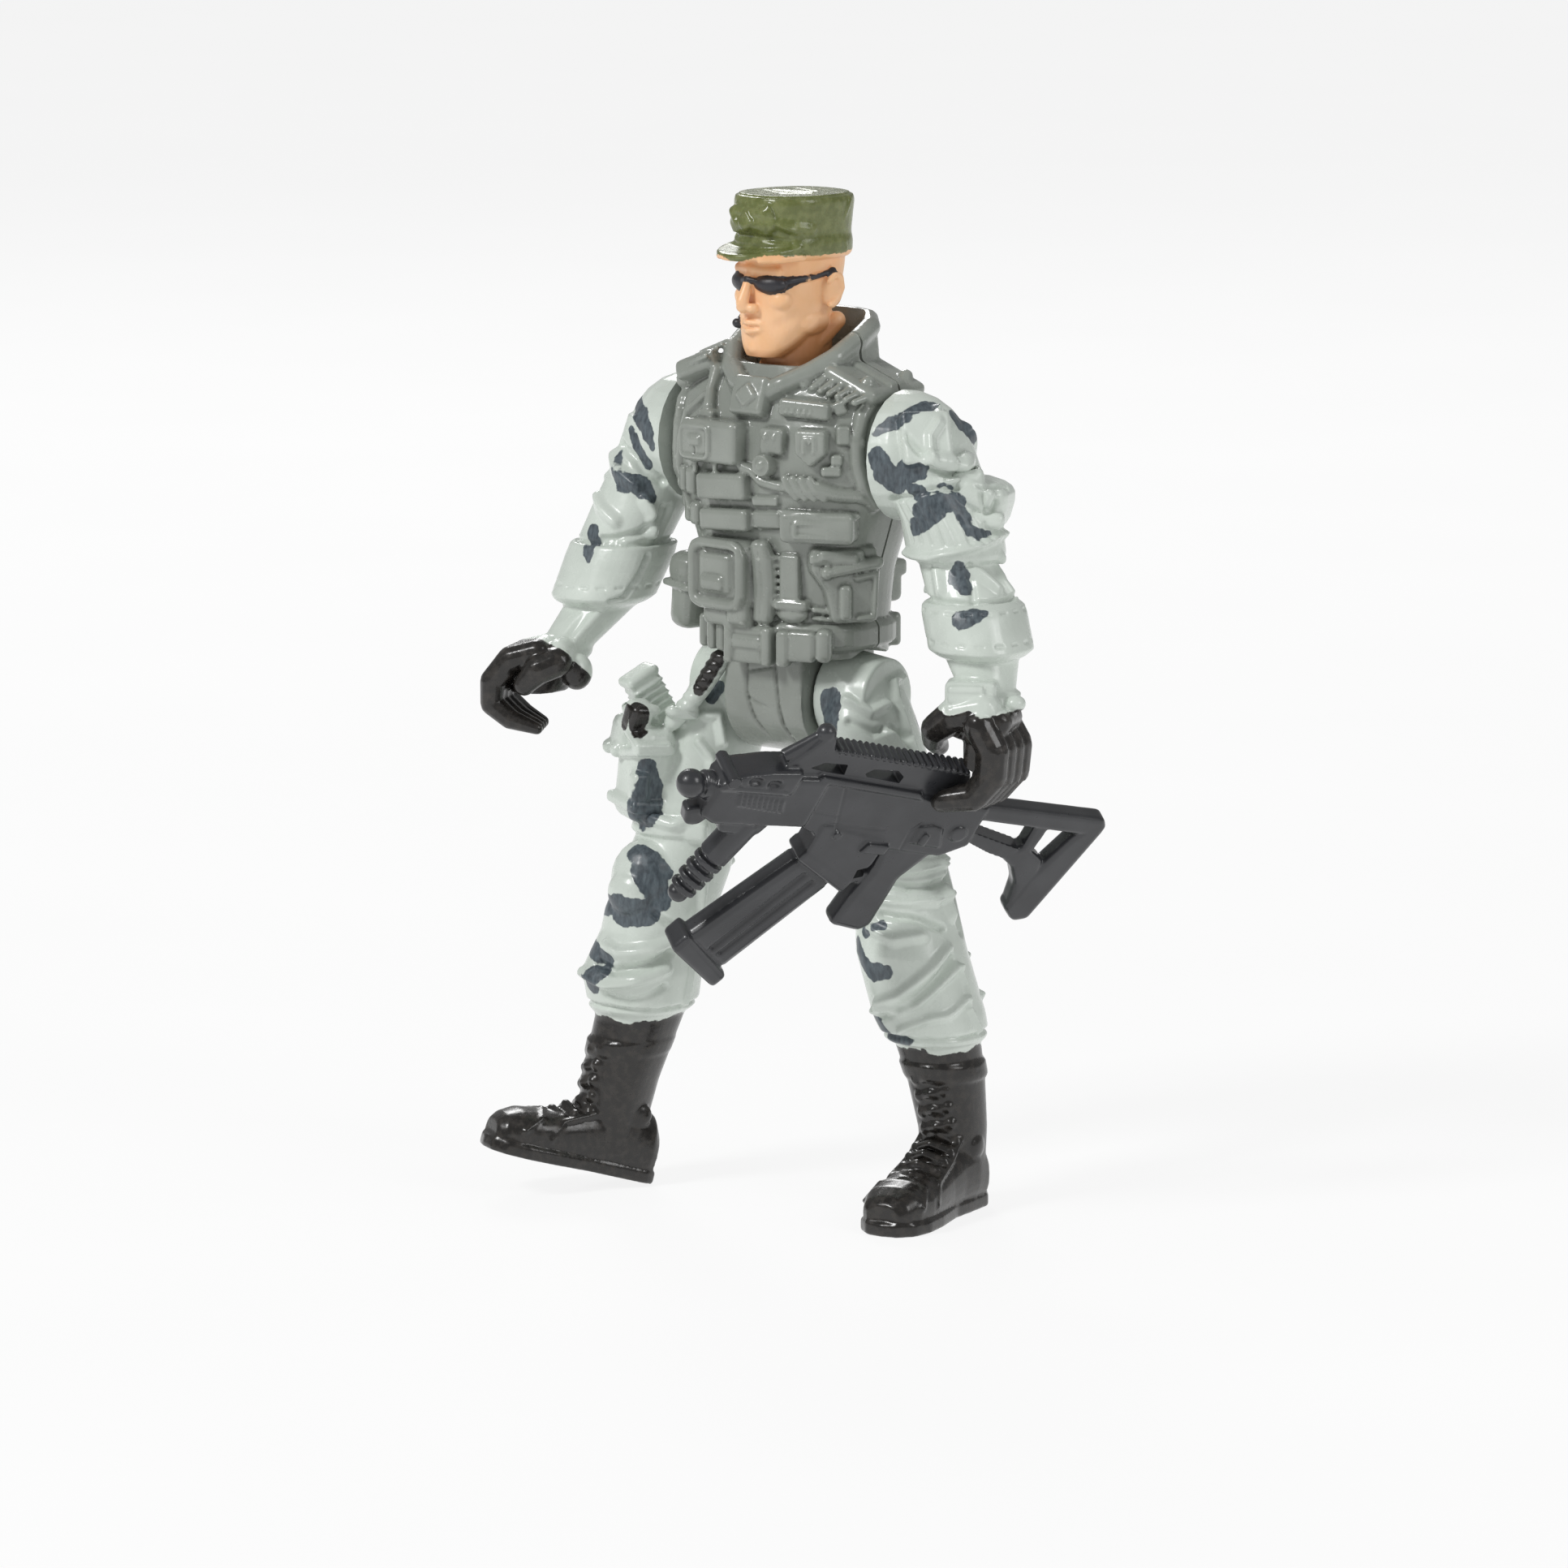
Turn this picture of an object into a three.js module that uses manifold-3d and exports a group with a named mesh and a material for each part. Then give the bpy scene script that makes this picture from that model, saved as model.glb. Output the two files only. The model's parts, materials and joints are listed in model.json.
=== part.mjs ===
// Toy soldier, about four inches tall: eight plastic mouldings. Two vest halves close over the
// shoulder, hip and neck pegs of the limbs and the head, and one hand grips a loose rifle.
// Millimetres, +Z up. The figure faces -Y and its left side is +X.
import * as THREE from "three";
import { mergeVertices } from "three/addons/utils/BufferGeometryUtils.js";
import { RoundedBoxGeometry } from "three/addons/geometries/RoundedBoxGeometry.js";
import Module from "manifold-3d";

const wasm = await Module();
wasm.setup();

// ---- driving dimensions ----
const GAP = 0.3; // clearance between two mouldings
const WALL = 1.9; // vest wall thickness
const SHOULDER = { x: 12.0, z: 72.5, r: 6.2 }; // armhole face and its centre
const HIP = { x: 4.6, z: 49.0, r: 4.6 }; // crotch cheek and the hip pivot
const NECK = { y: -0.5, z: 77.4, r: 3.3 }; // deck that the neck stands on
const PEG = 1.8; // radius of a limb's peg
const FLANGE = 3.0; // radius of the head on a peg
const FLANGE_THICK = 1.2;
const ANKLE_LEFT = [16.0, 3.0];
const ANKLE_RIGHT = [-16.1, -8.4];
const LEFT_SPLAY = 7; // degrees that the toes point outwards
const RIGHT_SPLAY = 32;
const TOE_UP = 16; // degrees that the striding boot is raised on its heel
const HEAD_TURN = -12; // degrees that the head looks to the figure's right

const COLOUR = {
  vest: "#8a8f8a",
  cloth: "#c3ccc6",
  skin: "#efbd8f",
  rifle: "#4a4b4e",
};

// ---- solids ----
const degrees = THREE.MathUtils.degToRad;

// A three.js geometry as a closed manifold-3d solid, with its faces outward.
function solid(geometry) {
  const bare = geometry.index ? geometry.toNonIndexed() : geometry.clone();
  bare.deleteAttribute("normal");
  bare.deleteAttribute("uv");
  const merged = mergeVertices(bare, 1e-4);
  const index = [];
  const source = merged.index.array;
  for (let i = 0; i < source.length; i += 3) {
    const [a, b, c] = [source[i], source[i + 1], source[i + 2]];
    if (a !== b && b !== c && a !== c) index.push(a, b, c);
  }
  const made = (order) =>
    new wasm.Manifold(
      new wasm.Mesh({
        numProp: 3,
        vertProperties: merged.attributes.position.array,
        triVerts: new Uint32Array(order),
      }),
    );
  const first = made(index);
  return first.volume() > 0 ? first : made(index.reverse());
}

function join(pieces) {
  return pieces.reduce((all, piece) => all.add(piece));
}

function moved(geometry, at, turn = [0, 0, 0]) {
  const angles = new THREE.Euler(...turn.map(degrees));
  const matrix = new THREE.Matrix4().makeRotationFromEuler(angles);
  return solid(geometry.applyMatrix4(matrix).translate(...at));
}

// A skin over rings. Each ring is a rounded outline about a centre, with two half-axis vectors;
// power 2 is an ellipse and a larger power is boxier.
function loft(rings, power = 2.3, sides = 18) {
  const points = [];
  const index = [];
  for (const { centre, u, v } of rings)
    for (let i = 0; i < sides; i++) {
      const angle = (i / sides) * Math.PI * 2;
      const [c, s] = [Math.cos(angle), Math.sin(angle)];
      const across = Math.sign(c) * Math.abs(c) ** (2 / power);
      const along = Math.sign(s) * Math.abs(s) ** (2 / power);
      for (const k of [0, 1, 2]) points.push(centre[k] + u[k] * across + v[k] * along);
    }
  const last = (rings.length - 1) * sides;
  for (let row = 0; row < last; row += sides)
    for (let i = 0; i < sides; i++) {
      const [a, b] = [row + i, row + ((i + 1) % sides)];
      index.push(a, b, b + sides, a, b + sides, a + sides);
    }
  for (const [row, ring] of [[0, rings[0]], [last, rings.at(-1)]]) {
    const hub = points.length / 3;
    points.push(...ring.centre);
    for (let i = 0; i < sides; i++) {
      const [a, b] = [row + i, row + ((i + 1) % sides)];
      index.push(...(row ? [a, b, hub] : [b, a, hub]));
    }
  }
  const geometry = new THREE.BufferGeometry();
  geometry.setAttribute("position", new THREE.Float32BufferAttribute(points, 3));
  geometry.setIndex(index);
  return solid(geometry);
}

// A loft that stands up: each row is [z, x, y, half width, half depth].
function column(rows, power, sides) {
  const rings = rows.map(([z, x, y, a, b]) => ({ centre: [x, y, z], u: [a, 0, 0], v: [0, b, 0] }));
  return loft(rings, power, sides);
}

function box(at, size, turn, round = 0.5) {
  const radius = Math.min(round, Math.min(...size) / 2.01);
  return moved(new RoundedBoxGeometry(...size, 1, radius), at, turn);
}

function rod(from, to, r1, r2 = r1, sides = 16) {
  const [a, b] = [new THREE.Vector3(...from), new THREE.Vector3(...to)];
  const way = b.clone().sub(a);
  const geometry = new THREE.CylinderGeometry(r2, r1, way.length(), sides);
  const turn = new THREE.Quaternion().setFromUnitVectors(
    new THREE.Vector3(0, 1, 0),
    way.clone().normalize(),
  );
  const middle = a.add(b).multiplyScalar(0.5);
  return solid(geometry.applyQuaternion(turn).translate(middle.x, middle.y, middle.z));
}

function ball(at, radii, sides = 18) {
  return solid(new THREE.SphereGeometry(1, sides, sides * 0.6).scale(...radii).translate(...at));
}

// Points of an outline, anticlockwise whichever way they were listed.
function anticlockwise(outline) {
  const points = outline.map((p) => new THREE.Vector2(...p));
  return THREE.ShapeUtils.isClockWise(points) ? points.reverse() : points;
}

function plate(outline, thick, holes = []) {
  const shape = new THREE.Shape(anticlockwise(outline));
  for (const hole of holes) shape.holes.push(new THREE.Path(anticlockwise(hole)));
  const options = { depth: thick, bevelEnabled: false, curveSegments: 8 };
  return new THREE.ExtrudeGeometry(shape, options).translate(0, 0, -thick / 2);
}

function placed(body, matrix) {
  return body.transform(matrix.elements);
}

// ---- vest ----
const VEST = [
  [53.0, 0, 0, 8.6, 6.3],
  [57.0, 0, 0, 8.8, 6.4],
  [61.0, 0, 0, 9.2, 6.6],
  [66.0, 0, 0, 10.8, 7.4],
  [70.0, 0, 0, 12.0, 8.0],
  [75.0, 0, 0, 12.0, 7.7],
  [78.0, 0, 0, 11.6, 6.2],
  [79.8, 0, 0, 8.2, 5.2],
  [80.6, 0, 0, 6.4, 5.0],
];

function collar() {
  const outer = column([
    [78.5, 0, 0.2, 7.4, 6.0],
    [81.0, 0, 0.4, 6.6, 5.9],
    [85.6, 0, 0.8, 6.6, 5.9],
  ]);
  const inner = column([
    [NECK.z, 0, 0.2, 4.6, 4.5],
    [81.0, 0, 0.3, 5.2, 5.2],
    [86.5, 0, 0.6, 5.7, 5.3],
  ]);
  const throat = box([0, -6.5, 85.0], [30, 14, 9.5], [31, 0, 0], 0.1);
  return { outer: outer.subtract(throat), inner };
}

function crotch() {
  const disc = rod([-HIP.x, 0, HIP.z], [HIP.x, 0, HIP.z], 5.9, 5.9, 28);
  const neck = box([0, 0, HIP.z + 3], [2 * HIP.x, 11.8, 6.2], [0, 0, 0], 0.2);
  return disc.add(neck);
}

// What is sewn on the vest's front: [x, z, width, height, how far it stands out, tilt].
const POUCHES = [
  [-5.2, 73.4, 6.0, 4.6, 2.6, 0], // big chest pouch
  [5.6, 77.2, 5.4, 1.8, 1.4, -8], // ribbed pen pouch
  [1.9, 74.2, 2.4, 4.4, 1.6, 0], // tag on its strap
  [6.2, 74.0, 3.0, 4.2, 1.6, 0], // shield-shaped patch
  [-4.6, 69.6, 5.8, 2.2, 2.2, 0], // upper strap pouch
  [-4.4, 66.2, 5.6, 2.2, 2.2, 0], // lower strap pouch
  [6.2, 69.8, 7.4, 1.6, 1.6, 14], // ribbed hose
  [6.4, 65.4, 7.0, 3.2, 2.2, 10], // slanting pouch
  [-2.8, 61.0, 6.4, 6.4, 3.2, 0], // belly pouch
  [3.2, 59.9, 3.6, 5.4, 2.2, 0], // ribbed pouch
  [-2.8, 57.2, 4.6, 3.0, 2.0, 0], // lower pouch
];

function vest() {
  const top = collar();
  const pieces = [column(VEST, 2.7, 32), top.outer, crotch()];
  pieces.push(
    column([
      [53.9, 0, 0, 8.9, 6.5],
      [54.3, 0, 0, 9.3, 6.9],
      [56.2, 0, 0, 9.3, 6.9],
      [56.6, 0, 0, 8.9, 6.5],
    ], 2.7, 32),
  );
  for (const [x, z, wide, high, out, tilt] of POUCHES) {
    const depth = z > 68 ? 7.6 : 6.4;
    pieces.push(box([x, -depth, z], [wide, 2 * out, high], [0, -tilt, -x * 2.2], 0.7));
  }
  pieces.push(box([1.0, -6.9, 54.7], [5.0, 2.0, 3.6], [0, 0, 0], 0.5)); // buckle
  pieces.push(box([5.6, -5.9, 54.7], [3.4, 2.0, 2.8], [0, 0, 16], 0.4)); // belt pouch
  pieces.push(box([-10.4, -2.4, 59.0], [4.0, 5.0, 6.6], [0, 0, -10], 1.6)); // canteen
  pieces.push(box([9.2, -3.2, 60.4], [2.2, 6.4, 6.6], [0, 0, -12], 0.8)); // knife sheath
  for (const side of [-1, 1])
    pieces.push(box([side * 8.4, -1.4, 79.6], [5.0, 6.4, 2.2], [0, side * 26, 0], 0.8)); // shoulder pad
  const badge = box([-0.4, -6.6, 78.2], [4.2, 2.0, 3.8], [-18, 0, 0], 0.5);
  return join(pieces).add(badge).subtract(top.inner);
}

// The hollow, the bores that the pegs turn in and the room that each flange needs.
function hollow() {
  const inside = VEST.filter(([z]) => z > 56 && z < 73).map(([z, x, y, a, b]) => [z, x, y, a - WALL, b - WALL]);
  inside.push([73.9, 0, 0, 10.0, 5.6]);
  const pieces = [column(inside, 2.7, 24)];
  const neck = (r, low, high) => rod([0, NECK.y, low], [0, NECK.y, high], r);
  pieces.push(neck(PEG + GAP, 73, NECK.z + 1));
  const side = (x1, x2, r, z) => rod([x1, 0, z], [x2, 0, z], r);
  pieces.push(side(-14, 14, PEG + GAP, SHOULDER.z));
  pieces.push(side(-10, 10, FLANGE + GAP, SHOULDER.z));
  pieces.push(side(-5, 5, PEG + GAP, HIP.z));
  pieces.push(side(-3, 3, FLANGE + GAP, HIP.z));
  return join(pieces);
}

// The legs' hubs turn in a recess under the belt, and the arms' sweep is kept clear.
function vestHalf(front) {
  const away = front ? -1 : 1;
  const half = box([0, away * (15 + GAP / 2), 65], [60, 30, 60], [0, 0, 0], 0.01);
  let body = vest().subtract(hollow());
  for (const side of [-1, 1]) {
    const hub = rod([side * HIP.x, 0, HIP.z], [side * 14, 0, HIP.z], HIP.r + 0.35, HIP.r + 0.35, 28);
    const armhole = box([side * (SHOULDER.x + 5), 0, 71.5], [10, 30, 18], [0, 0, 0], 0.01);
    body = body.subtract(hub).subtract(armhole);
  }
  return body.intersect(half);
}

// ---- head with its neck and cap ----
function head() {
  const skull = column([
    [81.4, 0, -4.1, 1.6, 1.3],
    [82.4, 0, -3.3, 2.6, 2.3],
    [84.2, 0, -1.6, 3.5, 4.0],
    [86.6, 0, -0.9, 4.0, 4.9],
    [89.4, 0, -0.6, 4.2, 5.1],
    [91.6, 0, -0.5, 4.3, 5.2],
  ]);
  const cap = column([
    [90.7, 0, -0.4, 4.9, 5.6],
    [91.0, 0, -0.4, 5.2, 5.9],
    [93.0, 0, -0.4, 5.1, 5.8],
    [96.3, 0, -0.3, 5.4, 6.0],
    [96.9, 0, -0.3, 5.0, 5.6],
  ], 2.3, 24);
  const brimOutline = [];
  for (let i = 0; i <= 10; i++) {
    const angle = Math.PI * (1 + i / 10);
    brimOutline.push([4.7 * Math.cos(angle), 5.4 * Math.sin(angle) - 3.4]);
  }
  const brim = moved(plate(brimOutline, 0.7), [0, 0, 91.3], [14, 0, 0]);
  const glasses = column([
    [87.4, 0, -0.9, 4.0, 5.1],
    [87.8, 0, -0.9, 4.35, 5.4],
    [89.3, 0, -0.8, 4.4, 5.4],
    [89.7, 0, -0.8, 4.1, 5.1],
  ]);
  const nose = moved(new THREE.ConeGeometry(1.1, 3.2, 8), [0, -5.6, 87.2], [104, 0, 0]);
  const boom = rod([-4.2, -0.6, 86.6], [-2.6, -5.6, 84.4], 0.45, 0.45, 8);
  const pieces = [skull, cap, brim, glasses, nose, boom, ball([-2.5, -5.8, 84.3], [0.6, 0.7, 0.6], 10)];
  for (const side of [-1, 1]) pieces.push(ball([side * 4.1, 0.4, 87.6], [0.6, 1.2, 1.7], 12));
  pieces.push(rod([0, 0, NECK.z + GAP], [0, 0, 84], NECK.r, NECK.r, 20));
  pieces.push(rod([0, 0, NECK.z + 0.6], [0, 0, 72.6], PEG));
  pieces.push(rod([0, 0, 72.5], [0, 0, 72.5 + FLANGE_THICK], FLANGE - 0.2));
  const turn = new THREE.Matrix4().makeRotationZ(degrees(HEAD_TURN)).setPosition(0, NECK.y, 0);
  return placed(join(pieces), turn);
}

// ---- rifle, drawn in its own plane: X to the muzzle, Y up, Z across ----
const RIFLE = { at: [21.07, -7.23, 41.59], muzzle: [-0.379, -0.896, 0.229], up: [0.563, -0.027, 0.826] };
const RECEIVER_THICK = 2.7;
const RAIL_TOP = 4.6;

function rifleFrame() {
  const x = new THREE.Vector3(...RIFLE.muzzle).normalize();
  const z = x.clone().cross(new THREE.Vector3(...RIFLE.up)).normalize();
  const y = z.clone().cross(x);
  return new THREE.Matrix4().makeBasis(x, y, z).setPosition(...RIFLE.at);
}

function rifle() {
  const flat = (outline, thick, holes) => solid(plate(outline, thick, holes));
  const handguard = flat([[12.5, 1.2], [22.6, 0.9], [24, -1.2], [23.6, -5.6], [22, -6.4], [12.5, -6.2]], 3.6);
  const rail = flat(
    [[-3.4, 0], [-1.6, 4.2], [13.4, 4.2], [13.9, 5.7], [14.9, 5.8], [17.4, 0.6], [17, 0]],
    2.0,
    [
      [[9.8, 1.3], [13.6, 1.3], [12.8, 2.6], [10.4, 2.6]],
      [[3.8, 1.6], [7.9, 1.4], [7.2, 2.8], [4.4, 2.8]],
    ],
  );
  const receiver = flat([[13.5, 1.3], [-5.4, 0.8], [-5.4, -3.8], [-3, -5.6], [9.2, -7.2], [13.5, -6.2]], RECEIVER_THICK);
  const magazine = flat([[9.3, -6.4], [3.5, -6.0], [11.2, -23.2], [17.4, -19.6]], 2.4);
  const floor = flat([[10.6, -23.4], [11.5, -25.2], [18.6, -21], [17.9, -19]], 3.2);
  const grip = flat([[3.2, -6], [-2.8, -5.4], [-2.1, -15.8], [2.9, -14.6]], 2.3);
  const guard = flat([[2.8, -6.2], [7, -7], [5.4, -11.6], [2.6, -12.6]], 1.4, [[[3.3, -7.8], [4.8, -8.2], [3.5, -10.8]]]);
  const stock = flat(
    [[-4.6, 0.5], [-18.2, 1.6], [-18.9, 0.6], [-16.2, -11.6], [-14.9, -12], [-13.2, -10.6],
      [-13.6, -7.2], [-10.6, -4.9], [-8.2, -4.4], [-4.6, -3.8]],
    2.0,
    [
      [[-7.8, -1.3], [-11.4, -0.9], [-11.6, -3.1], [-8.4, -3.2]],
      [[-12.9, -0.8], [-17, -0.5], [-16, -4.4], [-13.3, -4.2]],
    ],
  );
  const foregrip = rod([17.6, -6, 0], [20.4, -15.2, 0], 1.2, 1.4, 12);
  const barrel = rod([23, -2.3, 0], [25.6, -2.7, 0], 0.8, 0.8, 10);
  const pieces = [handguard, rail, receiver, magazine, floor, grip, guard, stock, foregrip, barrel];
  pieces.push(ball([25.5, -2.7, 0], [1, 1, 1], 12));
  for (let x = -1.2; x < 13; x += 1.1)
    pieces.push(moved(new THREE.BoxGeometry(0.6, 0.7, 2.2), [x, 4.25, 0])); // a rail tooth
  return placed(join(pieces), rifleFrame());
}

// The slot that the rifle's receiver and stock slide through.
function rifleSlot() {
  const high = 30;
  const slot = moved(new THREE.BoxGeometry(90, high, RECEIVER_THICK + 0.7), [0, RAIL_TOP + 0.4 - high / 2, 0]);
  return placed(slot, rifleFrame());
}

// ---- arms ----
// A gripping hand is a thick C about a hole; turn is the way its open side faces.
function hand(centre, azimuth, open, spread, hole, deep) {
  const outline = [];
  const steps = 14;
  const [from, to] = [open + spread / 2, open + 360 - spread / 2];
  for (let i = 0; i <= steps; i++) {
    const angle = degrees(from + ((to - from) * i) / steps);
    const reach = hole + 2.3;
    outline.push([reach * Math.cos(angle), reach * Math.sin(angle)]);
  }
  for (let i = steps; i >= 0; i--) {
    const angle = degrees(from + ((to - from) * i) / steps);
    outline.push([hole * Math.cos(angle), hole * Math.sin(angle)]);
  }
  const grip = plate(outline, deep).rotateX(Math.PI / 2).rotateZ(degrees(azimuth));
  return solid(grip.translate(...centre));
}

function shoulder(side) {
  const dome = ball([side * (SHOULDER.x + 0.4), -0.2, SHOULDER.z], [6.6, 5.9, SHOULDER.r], 22);
  const keep = box([side * (SHOULDER.x + GAP + 10), 0, SHOULDER.z], [20, 20, 20], [0, 0, 0], 0.01);
  const inner = side * (SHOULDER.x - 2.4);
  const peg = rod([side * (SHOULDER.x + 1), 0, SHOULDER.z], [inner, 0, SHOULDER.z], PEG);
  const head = rod([inner, 0, SHOULDER.z], [inner - side * FLANGE_THICK, 0, SHOULDER.z], FLANGE);
  return join([dome.intersect(keep), peg, head]);
}

function armLeft() {
  const sleeve = column([
    [74.5, 15.4, -0.3, 3.0, 4.6],
    [70.0, 16.4, -0.3, 3.9, 5.0],
    [66.8, 17.9, -0.2, 4.5, 4.7],
    [63.6, 18.6, -0.3, 4.4, 4.6],
    [63.0, 18.8, -0.4, 3.4, 3.5],
    [59.6, 21.0, -1.2, 3.8, 3.9],
    [58.6, 21.5, -1.5, 4.7, 4.7],
    [55.0, 22.8, -2.2, 4.7, 4.7],
    [54.5, 23.0, -2.3, 3.2, 3.2],
    [51.6, 24.4, -3.4, 2.6, 2.6],
    [51.2, 24.5, -3.5, 2.9, 3.0],
    [49.4, 24.8, -4.2, 2.9, 3.0],
    [47.6, 25.2, -4.8, 2.6, 3.0],
  ]);
  const pad = ball([20.9, 2.0, 68.4], [3.4, 3.6, 3.4], 16);
  const pocket = box([18.2, -3.0, 73.4], [3.2, 4.6, 5.0], [0, 0, 40], 1.2);
  const grip = hand([24.6, -5.2, 45.9], 20, 218, 84, 2.9, 6.4);
  return join([shoulder(1), sleeve, pad, pocket, grip]).subtract(rifleSlot());
}

function armRight() {
  const sleeve = column([
    [74.5, -15.4, -0.4, 3.0, 4.6],
    [70.0, -16.0, -1.0, 3.8, 4.9],
    [65.5, -17.0, -3.0, 4.2, 4.7],
    [62.0, -17.9, -4.2, 4.3, 4.5],
    [61.0, -18.1, -4.6, 4.9, 5.0],
    [56.8, -18.8, -6.4, 4.7, 4.8],
    [56.3, -18.9, -6.6, 3.3, 3.3],
    [52.6, -20.0, -10.6, 2.4, 2.6],
    [50.8, -20.6, -12.0, 2.6, 2.8],
    [48.6, -21.2, -13.2, 2.4, 3.0],
  ]);
  const grip = hand([-21.0, -13.4, 46.2], 20, 280, 116, 3.1, 6.2);
  return join([shoulder(-1), sleeve, grip]);
}

// ---- legs ----
function boot(ankle, splay, toeUp) {
  const heelBack = 3.5;
  const foot = loft([
    { centre: [0, 3.3, 2.0], u: [2.2, 0, 0], v: [0, 0, 1.6] },
    { centre: [0, 2.2, 2.5], u: [3.0, 0, 0], v: [0, 0, 2.5] },
    { centre: [0, -2.5, 3.3], u: [3.0, 0, 0], v: [0, 0, 3.3] },
    { centre: [0, -6.5, 2.5], u: [3.3, 0, 0], v: [0, 0, 2.5] },
    { centre: [0, -10.5, 2.1], u: [3.5, 0, 0], v: [0, 0, 2.1] },
    { centre: [0, -12.8, 1.9], u: [2.9, 0, 0], v: [0, 0, 1.7] },
    { centre: [0, -13.8, 1.7], u: [1.8, 0, 0], v: [0, 0, 1.1] },
  ], 2.8);
  const outline = [];
  for (let i = 0; i < 20; i++) {
    const angle = (i / 20) * Math.PI * 2;
    const [c, s] = [Math.cos(angle), Math.sin(angle)];
    const wide = s > 0 ? 3.1 : 3.6;
    outline.push([wide * Math.sign(c) * Math.abs(c) ** 0.6, s > 0 ? heelBack * s - 0.1 : 14.0 * s * (0.9 + 0.1 * s * s)]);
  }
  const sole = solid(plate(outline, 1.3).translate(0, 0, 0.65));
  const matrix = new THREE.Matrix4()
    .makeTranslation(ankle[0], ankle[1], 0)
    .multiply(new THREE.Matrix4().makeRotationZ(degrees(splay)))
    .multiply(new THREE.Matrix4().makeTranslation(0, heelBack, 0))
    .multiply(new THREE.Matrix4().makeRotationX(degrees(-toeUp)))
    .multiply(new THREE.Matrix4().makeTranslation(0, -heelBack, 0));
  return placed(foot.add(sole), matrix);
}

function hip(side) {
  const start = side * (HIP.x + GAP);
  const hub = rod([start, 0, HIP.z], [side * 10.4, 0, HIP.z], HIP.r, HIP.r - 0.8, 24);
  const peg = rod([side * (HIP.x + 1), 0, HIP.z], [side * 2.6, 0, HIP.z], PEG);
  const head = rod([side * 2.7, 0, HIP.z], [side * (2.7 - FLANGE_THICK), 0, HIP.z], FLANGE);
  return [hub, peg, head];
}

function legLeft() {
  const trouser = column([
    [50.6, 7.8, 0, 2.8, 3.9],
    [47.5, 8.4, -0.3, 3.5, 5.0],
    [43.5, 9.3, -0.2, 4.1, 5.4],
    [38.0, 10.2, 0.4, 4.3, 5.0],
    [33.0, 11.0, 1.4, 4.1, 4.4],
    [30.0, 11.4, 1.5, 4.5, 4.7],
    [25.0, 12.4, 1.2, 5.0, 5.2],
    [18.9, 13.9, 2.0, 5.0, 5.2],
    [16.4, 14.6, 2.2, 4.6, 4.8],
    [15.8, 14.8, 2.3, 4.0, 4.1],
    [12.8, 15.4, 2.7, 3.5, 3.7],
    [8.0, 16.0, 3.0, 3.0, 3.4],
    [3.0, ANKLE_LEFT[0], ANKLE_LEFT[1], 2.8, 3.2],
  ]);
  return join([trouser, ...hip(1), boot(ANKLE_LEFT, LEFT_SPLAY, 0)]);
}

function legRight() {
  const trouser = column([
    [50.6, -7.8, 0, 2.8, 3.9],
    [47.5, -8.4, -0.5, 3.5, 5.0],
    [43.5, -9.2, -1.4, 4.1, 5.4],
    [37.5, -10.0, -3.4, 4.6, 5.2],
    [31.0, -10.9, -5.4, 4.8, 5.3],
    [27.0, -11.6, -7.0, 5.0, 5.4],
    [21.6, -13.2, -7.6, 5.2, 5.6],
    [17.6, -13.8, -6.9, 4.9, 5.2],
    [15.6, -14.4, -7.1, 4.1, 4.4],
    [10.5, -15.5, -8.2, 3.5, 3.8],
    [6.4, ANKLE_RIGHT[0], ANKLE_RIGHT[1], 3.0, 3.3],
    [3.6, ANKLE_RIGHT[0], ANKLE_RIGHT[1], 2.8, 3.0],
  ]);
  const holster = box([-13.4, -3.6, 41.2], [3.0, 5.2, 10.0], [-16, 8, 0], 0.9);
  const pistol = box([-13.6, -2.2, 48.0], [2.2, 2.8, 4.6], [-16, 8, 0], 0.8);
  const kneePad = ball([-11.4, -9.0, 30.6], [4.0, 3.6, 4.2], 18);
  const strap = loft([
    { centre: [-10.0, -2.8, 38.6], u: [5.0, 0, 0], v: [0, 5.6, 0.6] },
    { centre: [-9.9, -2.6, 39.8], u: [5.0, 0, 0], v: [0, 5.7, 0.6] },
  ]);
  return join([trouser, holster, pistol, kneePad, strap, ...hip(-1), boot(ANKLE_RIGHT, -RIGHT_SPLAY, TOE_UP)]);
}

// ---- assembly ----
function meshOf(name, body, colour, roughness) {
  const made = body.getMesh();
  const geometry = new THREE.BufferGeometry();
  const points = new Float32Array(made.numVert * 3);
  for (let i = 0; i < made.numVert; i++)
    points.set(made.vertProperties.subarray(i * made.numProp, i * made.numProp + 3), i * 3);
  geometry.setAttribute("position", new THREE.BufferAttribute(points, 3));
  geometry.setIndex(new THREE.BufferAttribute(made.triVerts, 1));
  geometry.computeVertexNormals();
  const mesh = new THREE.Mesh(geometry, new THREE.MeshStandardMaterial({ color: colour, roughness, metalness: 0 }));
  mesh.name = name;
  return mesh;
}

const figure = new THREE.Group();
figure.add(meshOf("torso_front", vestHalf(true), COLOUR.vest, 0.35));
figure.add(meshOf("torso_back", vestHalf(false), COLOUR.vest, 0.35));
figure.add(meshOf("head", head(), COLOUR.skin, 0.5));
figure.add(meshOf("arm_left", armLeft(), COLOUR.cloth, 0.4));
figure.add(meshOf("arm_right", armRight(), COLOUR.cloth, 0.4));
figure.add(meshOf("leg_left", legLeft(), COLOUR.cloth, 0.4));
figure.add(meshOf("leg_right", legRight(), COLOUR.cloth, 0.4));
figure.add(meshOf("rifle", rifle(), COLOUR.rifle, 0.45));

// The origin is the middle of the footprint, on the surface that the figure stands on.
const bounds = new THREE.Box3().setFromObject(figure);
const middle = bounds.getCenter(new THREE.Vector3());
figure.position.set(-middle.x, -middle.y, -bounds.min.z);

export default figure;
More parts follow.
